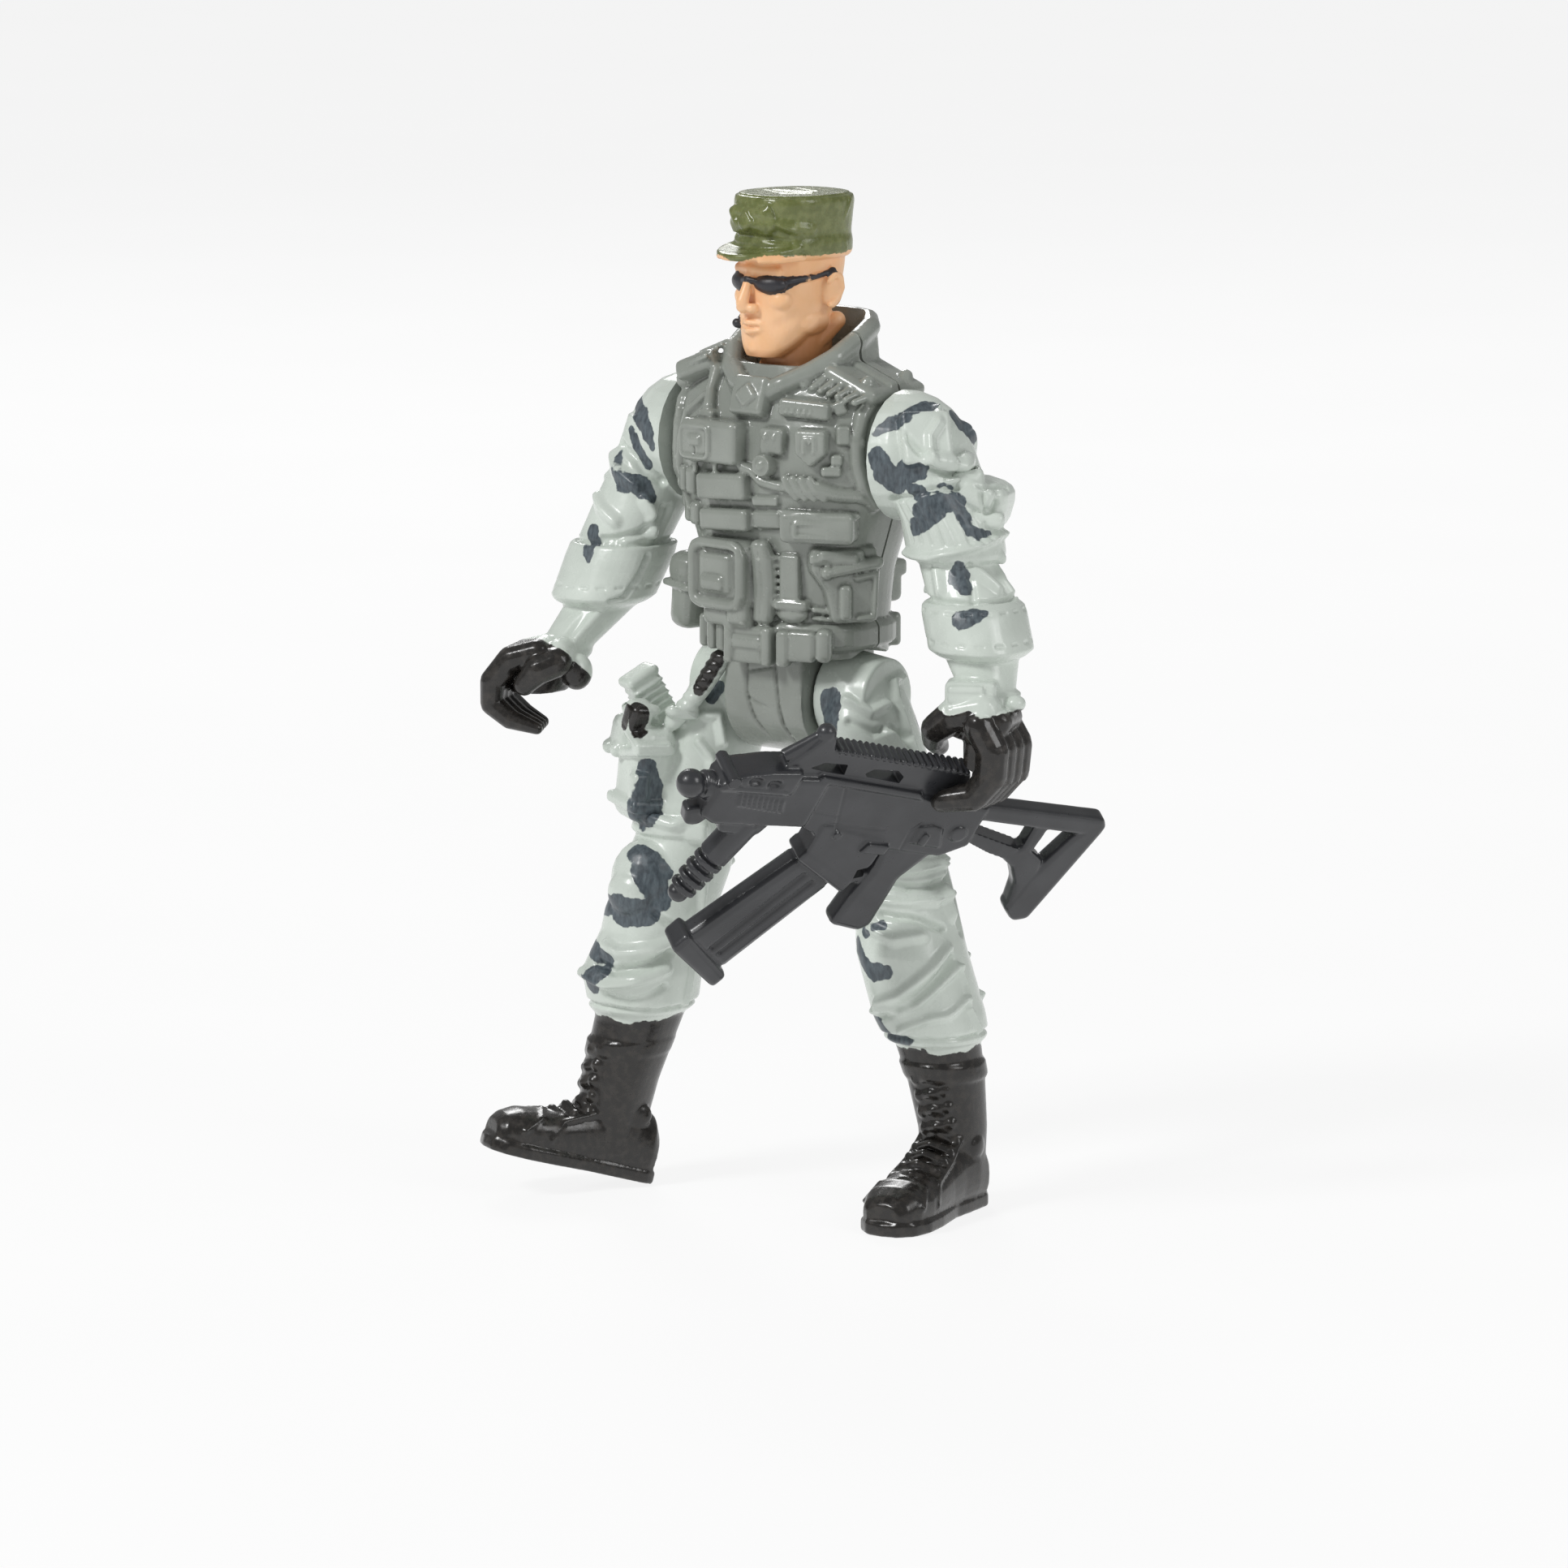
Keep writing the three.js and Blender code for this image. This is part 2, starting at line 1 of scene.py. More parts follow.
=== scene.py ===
"""Toy soldier, about 100 mm tall: eight glossy PVC mouldings, most of them with brushed paint.

Shapes are in millimetres in the torso's frame: X to the figure's left, -Y the way the chest
faces, Z up from the ground, with X = Y = 0 on the torso's axis. finish_piece() puts each one
into the row frame, in metres.
"""
import json
import math

import bmesh
import bpy
import numpy as np
from mathutils import Euler, Matrix, Vector
from mathutils.bvhtree import BVHTree


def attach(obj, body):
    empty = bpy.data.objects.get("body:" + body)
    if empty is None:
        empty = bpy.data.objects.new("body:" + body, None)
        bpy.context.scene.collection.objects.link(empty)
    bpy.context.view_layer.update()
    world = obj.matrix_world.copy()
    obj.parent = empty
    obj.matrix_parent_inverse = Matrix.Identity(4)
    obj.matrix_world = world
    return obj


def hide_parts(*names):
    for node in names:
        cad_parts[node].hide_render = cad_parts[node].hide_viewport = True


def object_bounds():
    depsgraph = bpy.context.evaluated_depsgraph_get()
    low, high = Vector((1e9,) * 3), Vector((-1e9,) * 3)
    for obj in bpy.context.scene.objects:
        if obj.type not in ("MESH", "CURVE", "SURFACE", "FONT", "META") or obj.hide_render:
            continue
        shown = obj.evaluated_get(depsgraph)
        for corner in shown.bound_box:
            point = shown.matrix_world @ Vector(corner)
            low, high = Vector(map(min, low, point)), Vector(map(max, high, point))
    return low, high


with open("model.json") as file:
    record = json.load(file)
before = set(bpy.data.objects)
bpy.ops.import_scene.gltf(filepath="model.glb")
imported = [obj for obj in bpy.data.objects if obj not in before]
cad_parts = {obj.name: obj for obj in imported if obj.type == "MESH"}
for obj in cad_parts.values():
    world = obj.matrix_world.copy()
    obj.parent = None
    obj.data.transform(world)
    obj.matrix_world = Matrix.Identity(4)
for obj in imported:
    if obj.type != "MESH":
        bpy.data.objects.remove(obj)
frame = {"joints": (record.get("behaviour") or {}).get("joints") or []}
cad_box = [list(corner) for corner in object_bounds()]

MM = 0.001
JOINT = {joint["name"]: joint for joint in frame["joints"]}


def pivot(name):
    return Vector(JOINT[name]["pos_m"]) / MM


SHOULDER = (pivot("shoulder_left") - pivot("shoulder_right")) / 2  # half the spread, mm
TORSO_AXIS = (pivot("shoulder_left") + pivot("shoulder_right")) / 2
TORSO_AXIS.z = 0.0
SHOULDER_X = abs(SHOULDER.x)
SHOULDER_Z = pivot("shoulder_left").z
HIP_Z = pivot("hip_left").z
HIP_X = abs((pivot("hip_left") - pivot("hip_right")).x) / 2
GAP = 0.3  # clearance between two mouldings
VEST_VOXEL, ARM_VOXEL, LEG_VOXEL = 0.15, 0.15, 0.18  # mm, the finest detail that each skin keeps
HEAD_VOXEL, RIFLE_VOXEL = 0.12, 0.13
PEG_RADIUS, FLANGE_RADIUS, FLANGE_THICK = 1.8, 3.0, 1.2
BORE_RADIUS, FLANGE_ROOM = PEG_RADIUS + GAP, FLANGE_RADIUS + GAP
SHOULDER_PEG_REACH, HIP_PEG_REACH = 2.4, 1.9  # from the joint face in to the flange
HUB_ROOM = 4.95  # radius of the room for a hip hub in the torso's side

# ---------------------------------------------------------------- placing and basic shapes


def place(at, turn=(0, 0, 0)):
    """A matrix that turns by degrees about X, then Y, then Z, and then moves to at."""
    angles = Euler([math.radians(a) for a in turn])
    return Matrix.Translation(at) @ angles.to_matrix().to_4x4()


def axes_matrix(at, x, y, z):
    matrix = Matrix((x, y, z)).transposed().to_4x4()
    matrix.translation = Vector(at)
    return matrix


def block(bm, matrix, size, edge=0.4, taper=1.0):
    """A box with rounded edges; taper narrows its outer (local -Y) face."""
    made = bmesh.ops.create_cube(bm, size=1.0)
    for v in made["verts"]:
        if v.co.y < 0:
            v.co.x *= taper
            v.co.z *= taper
    bmesh.ops.transform(bm, matrix=matrix @ Matrix.Diagonal((*size, 1)), verts=made["verts"])
    edges = list({e for v in made["verts"] for e in v.link_edges})
    bmesh.ops.bevel(bm, geom=edges, offset=min(edge, min(size) * 0.45), offset_type="OFFSET",
                    segments=3, profile=0.5, affect="EDGES", material=-1, clamp_overlap=True)


def bead(bm, at, radii, turn=(0, 0, 0)):
    if isinstance(radii, (int, float)):
        radii = (radii,) * 3
    matrix = place(at, turn) @ Matrix.Diagonal((*radii, 1))
    bmesh.ops.create_uvsphere(bm, u_segments=20, v_segments=12, radius=1.0, matrix=matrix)


def rod(bm, a, b, r1, r2=None, sides=24):
    a, b = Vector(a), Vector(b)
    way = b - a
    matrix = Matrix.Translation((a + b) / 2) @ way.to_track_quat("Z", "Y").to_matrix().to_4x4()
    bmesh.ops.create_cone(bm, cap_ends=True, segments=sides, radius1=r1,
                          radius2=r1 if r2 is None else r2, depth=way.length, matrix=matrix)


def piping(bm, points, radii):
    """A rounded welt along a line of points."""
    if isinstance(radii, (int, float)):
        radii = [radii] * len(points)
    for (a, ra), (b, rb) in zip(zip(points, radii), list(zip(points, radii))[1:]):
        rod(bm, a, b, ra, rb, 12)
    for p, r in zip(points, radii):
        bmesh.ops.create_icosphere(bm, subdivisions=2, radius=r, matrix=Matrix.Translation(p))


def ring(bm, centre, half, power, sides):
    """A rounded outline: power 2 is an ellipse and a larger power is boxier."""
    made = bmesh.ops.create_circle(bm, cap_ends=False, segments=sides, radius=1.0)
    for v in made["verts"]:
        across = math.copysign(abs(v.co.x) ** (2 / power), v.co.x)
        along = math.copysign(abs(v.co.y) ** (2 / power), v.co.y)
        v.co = Vector((centre[0] + half[0] * across, centre[1] + half[1] * along, centre[2]))
    return list({e for v in made["verts"] for e in v.link_edges})


def eased(rows, step, soft):
    """Rows of a column filled in every step mm, with their corners eased soft times."""
    rows = np.array(sorted(rows), float)
    z = np.arange(rows[0, 0], rows[-1, 0], step)
    z = np.append(z, rows[-1, 0])
    cols = np.stack([np.interp(z, rows[:, 0], rows[:, k]) for k in range(1, rows.shape[1])], 1)
    for _ in range(soft):
        cols[1:-1] = (cols[:-2] + 2 * cols[1:-1] + cols[2:]) / 4
    return np.column_stack([z, cols])


def column(bm, rows, power=2.3, sides=36, step=0.6, soft=2):
    """A skin over stacked rings; each row is [z, x, y, half width, half depth]."""
    loops = [ring(bm, (x, y, z), (a, b), power, sides) for z, x, y, a, b in eased(rows, step, soft)]
    for low, high in zip(loops, loops[1:]):
        bmesh.ops.bridge_loops(bm, edges=low + high)
    bmesh.ops.contextual_create(bm, geom=loops[0])
    bmesh.ops.contextual_create(bm, geom=loops[-1])


def plate(bm, matrix, outline, thick, edge=0.25):
    """A flat plate: an outline in the local XY plane, thick along Z, with eased edges."""
    verts = [bm.verts.new((x, y, -thick / 2)) for x, y in outline]
    face = bm.faces.new(verts)
    raised = bmesh.ops.extrude_face_region(bm, geom=[face])["geom"]
    top = [g for g in raised if isinstance(g, bmesh.types.BMVert)]
    bmesh.ops.translate(bm, vec=(0, 0, thick), verts=top)
    verts += top
    bmesh.ops.transform(bm, matrix=matrix, verts=verts)
    faces = list({f for v in verts for f in v.link_faces})
    bmesh.ops.recalc_face_normals(bm, faces=faces)
    edges = list({e for v in verts for e in v.link_edges})
    bmesh.ops.bevel(bm, geom=edges, offset=edge, offset_type="OFFSET", segments=2, profile=0.5,
                    affect="EDGES", material=-1, clamp_overlap=True)


# ---------------------------------------------------------------- one skin, sculpted and cut


def new_object(name, bm):
    mesh = bpy.data.meshes.new(name)
    bmesh.ops.recalc_face_normals(bm, faces=bm.faces)
    bm.to_mesh(mesh)
    bm.free()
    obj = bpy.data.objects.new(name, mesh)
    bpy.context.scene.collection.objects.link(obj)
    return obj


def settle(obj):
    """Applies the object's modifiers to its mesh."""
    bpy.context.view_layer.update()
    shown = obj.evaluated_get(bpy.context.evaluated_depsgraph_get())
    made = bpy.data.meshes.new_from_object(shown)
    old = obj.data
    obj.modifiers.clear()
    obj.data = made
    bpy.data.meshes.remove(old)
    made.name = obj.name
    return obj


def fused(name, bm, voxel, soften=2):
    """One closed skin round every overlapping shape, with the soft inner corners of a mould."""
    obj = new_object(name, bm)
    skin = obj.modifiers.new("one_skin", "REMESH")
    skin.mode = "VOXEL"
    skin.voxel_size = voxel * 1.0
    ease = obj.modifiers.new("soft_corners", "SMOOTH")
    ease.factor = 0.5
    ease.iterations = soften
    return settle(obj)


def cut(obj, shape, *settings, keep_common=False):
    """Takes one shape out of obj, or keeps only what they share."""
    bm = bmesh.new()
    shape(bm, *settings)
    tool = new_object("cutter", bm)
    change = obj.modifiers.new("cut", "BOOLEAN")
    change.solver = "MANIFOLD"
    change.operation = "INTERSECT" if keep_common else "DIFFERENCE"
    change.object = tool
    settle(obj)
    bpy.data.objects.remove(tool)
    return obj


def points_of(obj):
    co = np.empty(len(obj.data.vertices) * 3)
    obj.data.vertices.foreach_get("co", co)
    return co.reshape(-1, 3)


def distance(co, line):
    """How far each point is from a line of points."""
    line = [np.array(p, float) for p in line]
    if len(line) == 1:
        return np.linalg.norm(co - line[0], axis=1)
    best = np.full(len(co), 1e9)
    for a, b in zip(line, line[1:]):
        way = b - a
        along = np.clip((co - a) @ way / max(way @ way, 1e-9), 0, 1)
        best = np.minimum(best, np.linalg.norm(co - a - along[:, None] * way, axis=1))
    return best


def sculpt(obj, strokes):
    """Raises or sinks the skin along lines: each stroke is (line, half width, height) in mm."""
    co = points_of(obj)
    normals = np.empty(len(co) * 3)
    obj.data.vertices.foreach_get("normal", normals)
    lift = np.zeros(len(co))
    for line, wide, high in strokes:
        near = np.clip(1 - distance(co, line) / wide, 0, 1)
        lift += high * near * near * (3 - 2 * near)
    co += normals.reshape(-1, 3) * lift[:, None]
    obj.data.vertices.foreach_set("co", co.ravel())
    obj.data.update()


def painted(obj, name, marks, edge=None):
    """Stores how far each vertex is outside the nearest brush mark, in mm, below 0 inside one.

    A mark is a line of (point, radius). edge may add an array of signed distances."""
    co = points_of(obj)
    best = np.full(len(co), 9.0)
    for mark in marks:
        line = [np.array(p, float) for p, _ in mark]
        size = [r for _, r in mark]
        if len(line) == 1:
            best = np.minimum(best, np.linalg.norm(co - line[0], axis=1) - size[0])
        for a, b, ra, rb in zip(line, line[1:], size, size[1:]):
            way = b - a
            along = np.clip((co - a) @ way / max(way @ way, 1e-9), 0, 1)
            gap = np.linalg.norm(co - a - along[:, None] * way, axis=1) - (ra + (rb - ra) * along)
            best = np.minimum(best, gap)
    if edge is not None:
        best = np.minimum(best, edge)
    layer = obj.data.attributes.new(name, "FLOAT", "POINT")
    layer.data.foreach_set("value", best.astype(np.float32))


FOLD_WIDTH, FOLD_DEPTH = 1.25, 1.6  # make up for what the smoothing takes from a fold
MARK_SPREAD, MARK_EDGE = 1.2, 0.1  # make up for what the ragged edge takes from a brush mark


class Limb:
    """Finds points on a limb's skin from an angle round its own axis and a height.

    The angle is in degrees from the figure's left, so -90 is the front."""

    def __init__(self, rows, obj):
        self.rows = np.array(sorted(rows), float)
        self.tree = BVHTree.FromObject(obj, bpy.context.evaluated_depsgraph_get())

    def at(self, angle, z, out=0.0):
        x, y = (np.interp(z, self.rows[:, 0], self.rows[:, k]) for k in (1, 2))
        way = Vector((math.cos(math.radians(angle)), math.sin(math.radians(angle)), 0))
        axis = Vector((x, y, z))
        hit = self.tree.ray_cast(axis + way * 30, -way)[0]
        return (hit if hit else axis) + way * out

    def line(self, pairs):
        """The pairs' points on the skin, filled in so that the line follows its curve."""
        points = []
        for (a, z), (b, w) in zip(pairs, pairs[1:]):
            count = max(1, int(abs(b - a) / 18), int(abs(w - z) / 1.5))
            for i in range(count):
                share = i / count
                points.append(self.at(a + (b - a) * share, z + (w - z) * share))
        points.append(self.at(*pairs[-1]))
        return points

    def strokes(self, table):
        return [(self.line(pairs), wide * FOLD_WIDTH, high * FOLD_DEPTH) for wide, high, pairs in table]

    def marks(self, table):
        return [[(self.at(a, z), MARK_SPREAD * r + MARK_EDGE) for a, z, r in mark] for mark in table]


def joined(bm, part, matrix):
    """Adds the shapes of another bmesh, placed by matrix."""
    bmesh.ops.transform(part, matrix=matrix, verts=part.verts)
    mesh = bpy.data.meshes.new("part")
    part.to_mesh(mesh)
    part.free()
    bm.from_mesh(mesh)
    bpy.data.meshes.remove(mesh)


def add_shell(obj, bm):
    """Adds closed shapes beside the skin, such as a peg, without fusing them."""
    whole = bmesh.new()
    whole.from_mesh(obj.data)
    joined(whole, bm, Matrix.Identity(4))
    whole.to_mesh(obj.data)
    whole.free()


def finish_piece(obj, material, node, body, crease=50):
    for face in obj.data.polygons:
        face.use_smooth = True
    obj.data.set_sharp_from_angle(angle=math.radians(crease))
    obj.data.transform(Matrix.Scale(MM, 4) @ Matrix.Translation(TORSO_AXIS))
    obj.data.materials.clear()
    obj.data.materials.append(material)
    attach(obj, body)
    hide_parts(node)


# ---------------------------------------------------------------- materials


def linear(code):
    """An sRGB hex colour as linear RGBA."""
    parts = [int(code[i:i + 2], 16) / 255 for i in (1, 3, 5)]
    return [c / 12.92 if c <= 0.04045 else ((c + 0.055) / 1.055) ** 2.4 for c in parts] + [1.0]


def add(tree, kind, links=None, out=0, **settings):
    """Adds a node and gives back one of its outputs.

    settings are its own properties; links maps an input to a value or to an output socket."""
    node = tree.nodes.new(kind)
    for key, value in settings.items():
        setattr(node, key, value)
    for key, value in (links or {}).items():
        if isinstance(value, bpy.types.NodeSocket):
            tree.links.new(value, node.inputs[key])
        else:
            node.inputs[key].default_value = value
    return node.outputs[out] if len(node.outputs) else None


def new_material(name):
    material = bpy.data.materials.new(name)
    material.use_nodes = True
    material.node_tree.nodes.clear()
    return material, material.node_tree


# Input numbers of the Map Range node: value, from low, from high, to low, to high.
# Input numbers of the Mix node: 0 factor, 2 and 3 numbers, 6 and 7 colours.


def painted_area(tree, name, ragged_mm, grain_mm, sharp_mm=0.05):
    """1 inside an area stored by painted(). Its edge wanders by ragged_mm, as a brush leaves it."""
    field = add(tree, "ShaderNodeAttribute", attribute_name=name, out=2)
    here = add(tree, "ShaderNodeTexCoord", out=3)
    grain = add(tree, "ShaderNodeTexNoise", {"Vector": here, "Scale": 1 / (grain_mm * MM), "Detail": 2.0})
    wander = add(tree, "ShaderNodeMapRange", {0: grain, 1: 0.3, 2: 0.7, 3: -ragged_mm, 4: ragged_mm})
    edge = add(tree, "ShaderNodeMath", {0: field, 1: wander}, operation="ADD")
    return add(tree, "ShaderNodeMapRange", {0: edge, 1: sharp_mm, 2: -sharp_mm, 3: 0.0, 4: 1.0})


def vest_pvc():
    """Glossy moulded PVC, grey-green all through: soft highlights and a faint orange peel.

    Painted shade darkens the hollows a little, and a painted highlight, partly pale frosting, makes the edges paler."""
    material, tree = new_material("moulded_pvc_vest")
    here = add(tree, "ShaderNodeTexCoord", out=3)
    cloud = add(tree, "ShaderNodeTexNoise", {"Vector": here, "Scale": 1 / (5.0 * MM), "Detail": 3.0})
    cloud = add(tree, "ShaderNodeMapRange", {0: cloud, 1: 0.35, 2: 0.65, 3: 0.0, 4: 1.0})
    tone = add(tree, "ShaderNodeMix", {0: cloud, 6: linear("#858a83"), 7: linear("#90958e")}, 2, data_type="RGBA")
    curve = add(tree, "ShaderNodeNewGeometry", out=7)  # below 0.5 in a hollow, above it on an edge
    # painted shade: hollows (low pointiness) are darkened toward #565a54
    sunk = add(tree, "ShaderNodeMapRange", {0: curve, 1: 0.492, 2: 0.45, 3: 0.0, 4: 0.85})
    # painted highlight, partly pale frosting: convex edges are paled toward #b3b8b0
    edge_highlight_and_frosting = add(tree, "ShaderNodeMapRange", {0: curve, 1: 0.52, 2: 0.6, 3: 0.0, 4: 0.6})
    tone = add(tree, "ShaderNodeMix", {0: sunk, 6: tone, 7: linear("#565a54")}, 2, data_type="RGBA")
    tone = add(tree, "ShaderNodeMix", {0: edge_highlight_and_frosting, 6: tone, 7: linear("#b3b8b0")}, 2, data_type="RGBA")
    polish = add(tree, "ShaderNodeTexNoise", {"Vector": here, "Scale": 1 / (1.2 * MM), "Detail": 3.0})
    rough = add(tree, "ShaderNodeMapRange", {0: polish, 1: 0.3, 2: 0.7, 3: 0.2, 4: 0.3})
    peel = add(tree, "ShaderNodeTexNoise", {"Vector": here, "Scale": 1 / (0.5 * MM), "Detail": 3.0})
    relief = add(tree, "ShaderNodeBump", {"Height": peel, "Strength": 0.06, "Distance": 0.2 * MM})
    shader = add(tree, "ShaderNodeBsdfPrincipled", {
        "Base Color": tone, "Roughness": rough, "IOR": 1.5, "Normal": relief,
        "Coat Weight": 0.3, "Coat Roughness": 0.12})
    add(tree, "ShaderNodeOutputMaterial", {"Surface": shader})
    return material


def limb_pvc():
    """Pale grey-green PVC with camouflage and black leather brushed on in acrylic paint.

    The paint stands a hair proud, is streaked by the brush and is a little rougher than the
    plastic; the black is scuffed like worn leather."""
    material, tree = new_material("painted_pvc_limb")
    here = add(tree, "ShaderNodeTexCoord", out=3)
    cloud = add(tree, "ShaderNodeTexNoise", {"Vector": here, "Scale": 1 / (4.0 * MM), "Detail": 3.0})
    cloud = add(tree, "ShaderNodeMapRange", {0: cloud, 1: 0.35, 2: 0.65, 3: 0.0, 4: 1.0})
    bare = add(tree, "ShaderNodeMix", {0: cloud, 6: linear("#c5cdc5"), 7: linear("#d1d9d1")}, 2, data_type="RGBA")
    along = add(tree, "ShaderNodeMapping", {"Vector": here, "Scale": (1.0, 1.0, 0.4)})
    brush = add(tree, "ShaderNodeTexNoise", {"Vector": along, "Scale": 1 / (0.35 * MM), "Detail": 4.0})
    brush = add(tree, "ShaderNodeMapRange", {0: brush, 1: 0.35, 2: 0.7, 3: 0.0, 4: 1.0})
    slate = add(tree, "ShaderNodeMix", {0: brush, 6: linear("#3f474d"), 7: linear("#5b666c")}, 2, data_type="RGBA")
    scuff = add(tree, "ShaderNodeTexNoise", {"Vector": here, "Scale": 1 / (0.7 * MM), "Detail": 5.0})
    scuff = add(tree, "ShaderNodeMapRange", {0: scuff, 1: 0.45, 2: 0.75, 3: 0.0, 4: 1.0})
    leather = add(tree, "ShaderNodeMix", {0: scuff, 6: linear("#1e1c1a"), 7: linear("#36322e")}, 2, data_type="RGBA")
    camo = painted_area(tree, "camo", 0.14, 0.9)
    black = painted_area(tree, "black", 0.1, 0.7)
    tone = add(tree, "ShaderNodeMix", {0: camo, 6: bare, 7: slate}, 2, data_type="RGBA")
    tone = add(tree, "ShaderNodeMix", {0: black, 6: tone, 7: leather}, 2, data_type="RGBA")
    polish = add(tree, "ShaderNodeTexNoise", {"Vector": here, "Scale": 1 / (1.5 * MM), "Detail": 3.0})
    rough = add(tree, "ShaderNodeMapRange", {0: polish, 1: 0.3, 2: 0.7, 3: 0.2, 4: 0.32})
    matt = add(tree, "ShaderNodeMapRange", {0: brush, 1: 0.0, 2: 1.0, 3: 0.32, 4: 0.48})
    worn = add(tree, "ShaderNodeMapRange", {0: scuff, 1: 0.0, 2: 1.0, 3: 0.22, 4: 0.38})
    rough = add(tree, "ShaderNodeMix", {0: camo, 2: rough, 3: matt}, data_type="FLOAT")
    rough = add(tree, "ShaderNodeMix", {0: black, 2: rough, 3: worn}, data_type="FLOAT")
    smooth = add(tree, "ShaderNodeTexNoise", {"Vector": here, "Scale": 1 / (0.6 * MM), "Detail": 3.0})
    grain = add(tree, "ShaderNodeTexNoise", {"Vector": here, "Scale": 1 / (0.45 * MM), "Detail": 4.0})
    height = add(tree, "ShaderNodeMix", {0: black, 2: smooth, 3: grain}, data_type="FLOAT")
    paint = add(tree, "ShaderNodeMath", {0: camo, 1: black}, operation="MAXIMUM")
    height = add(tree, "ShaderNodeMath", {0: height, 1: paint}, operation="ADD")
    relief = add(tree, "ShaderNodeBump", {"Height": height, "Strength": 0.25, "Distance": 0.06 * MM})
    shader = add(tree, "ShaderNodeBsdfPrincipled", {
        "Base Color": tone, "Roughness": rough, "IOR": 1.5, "Normal": relief,
        "Coat Weight": 0.12, "Coat Roughness": 0.25})
    add(tree, "ShaderNodeOutputMaterial", {"Surface": shader})
    return material


def head_pvc():
    """Satin flesh-coloured PVC that lets a little light in, with an olive cap and black glasses
    brushed on. The neck has painted shade under the jaw, and the cap's thin paint shows its brush strokes."""
    material, tree = new_material("painted_pvc_head")
    here = add(tree, "ShaderNodeTexCoord", out=3)
    cloud = add(tree, "ShaderNodeTexNoise", {"Vector": here, "Scale": 1 / (3.0 * MM), "Detail": 3.0})
    cloud = add(tree, "ShaderNodeMapRange", {0: cloud, 1: 0.35, 2: 0.65, 3: 0.0, 4: 1.0})
    flesh = add(tree, "ShaderNodeMix", {0: cloud, 6: linear("#ecb887"), 7: linear("#f3c499")}, 2, data_type="RGBA")
    # painted shade under the jaw: the neck is mixed toward a darker flesh, #bd8254
    neck = add(tree, "ShaderNodeAttribute", attribute_name="neck", out=2)
    neck = add(tree, "ShaderNodeMapRange", {0: neck, 1: 0.5, 2: -0.5, 3: 0.0, 4: 1.0})
    flesh = add(tree, "ShaderNodeMix", {0: neck, 6: flesh, 7: linear("#bd8254")}, 2, data_type="RGBA")
    thin = add(tree, "ShaderNodeTexNoise", {"Vector": here, "Scale": 1 / (0.8 * MM), "Detail": 4.0})
    thin = add(tree, "ShaderNodeMapRange", {0: thin, 1: 0.4, 2: 0.72, 3: 0.0, 4: 1.0})
    olive = add(tree, "ShaderNodeMix", {0: thin, 6: linear("#62693a"), 7: linear("#7b8152")}, 2, data_type="RGBA")
    cap = painted_area(tree, "cap", 0.12, 0.6)
    glasses = painted_area(tree, "glasses", 0.06, 0.5, 0.03)
    tone = add(tree, "ShaderNodeMix", {0: cap, 6: flesh, 7: olive}, 2, data_type="RGBA")
    tone = add(tree, "ShaderNodeMix", {0: glasses, 6: tone, 7: linear("#2c2c31")}, 2, data_type="RGBA")
    satin = add(tree, "ShaderNodeMapRange", {0: cloud, 1: 0.0, 2: 1.0, 3: 0.34, 4: 0.44})
    wet = add(tree, "ShaderNodeMapRange", {0: thin, 1: 0.0, 2: 1.0, 3: 0.2, 4: 0.36})
    rough = add(tree, "ShaderNodeMix", {0: cap, 2: satin, 3: wet}, data_type="FLOAT")
    smooth = add(tree, "ShaderNodeTexNoise", {"Vector": here, "Scale": 1 / (0.8 * MM), "Detail": 3.0})
    weave = add(tree, "ShaderNodeTexNoise", {"Vector": here, "Scale": 1 / (0.35 * MM), "Detail": 4.0})
    height = add(tree, "ShaderNodeMix", {0: cap, 2: smooth, 3: weave}, data_type="FLOAT")
    relief = add(tree, "ShaderNodeBump", {"Height": height, "Strength": 0.25, "Distance": 0.1 * MM})
    shader = add(tree, "ShaderNodeBsdfPrincipled", {
        "Base Color": tone, "Roughness": rough, "IOR": 1.5, "Normal": relief,
        "Subsurface Weight": 0.12, "Subsurface Scale": 0.001, "Subsurface Radius": (1.0, 0.5, 0.3)})
    add(tree, "ShaderNodeOutputMaterial", {"Surface": shader})
    return material


def rifle_pvc():
    """Satin dark grey PVC with the fine sparkle of a spark-eroded mould."""
    material, tree = new_material("moulded_pvc_rifle")
    here = add(tree, "ShaderNodeTexCoord", out=3)
    cloud = add(tree, "ShaderNodeTexNoise", {"Vector": here, "Scale": 1 / (4.0 * MM), "Detail": 3.0})
    cloud = add(tree, "ShaderNodeMapRange", {0: cloud, 1: 0.35, 2: 0.65, 3: 0.0, 4: 1.0})
    tone = add(tree, "ShaderNodeMix", {0: cloud, 6: linear("#27282b"), 7: linear("#323336")}, 2, data_type="RGBA")
    polish = add(tree, "ShaderNodeTexNoise", {"Vector": here, "Scale": 1 / (0.9 * MM), "Detail": 3.0})
    rough = add(tree, "ShaderNodeMapRange", {0: polish, 1: 0.3, 2: 0.7, 3: 0.27, 4: 0.36})
    sparkle = add(tree, "ShaderNodeTexNoise", {"Vector": here, "Scale": 1 / (0.12 * MM), "Detail": 2.0})
    relief = add(tree, "ShaderNodeBump", {"Height": sparkle, "Strength": 0.12, "Distance": 0.04 * MM})
    shader = add(tree, "ShaderNodeBsdfPrincipled", {
        "Base Color": tone, "Roughness": rough, "IOR": 1.5, "Normal": relief,
        "Coat Weight": 0.3, "Coat Roughness": 0.18})
    add(tree, "ShaderNodeOutputMaterial", {"Surface": shader})
    return material


# ---------------------------------------------------------------- vest: both torso halves

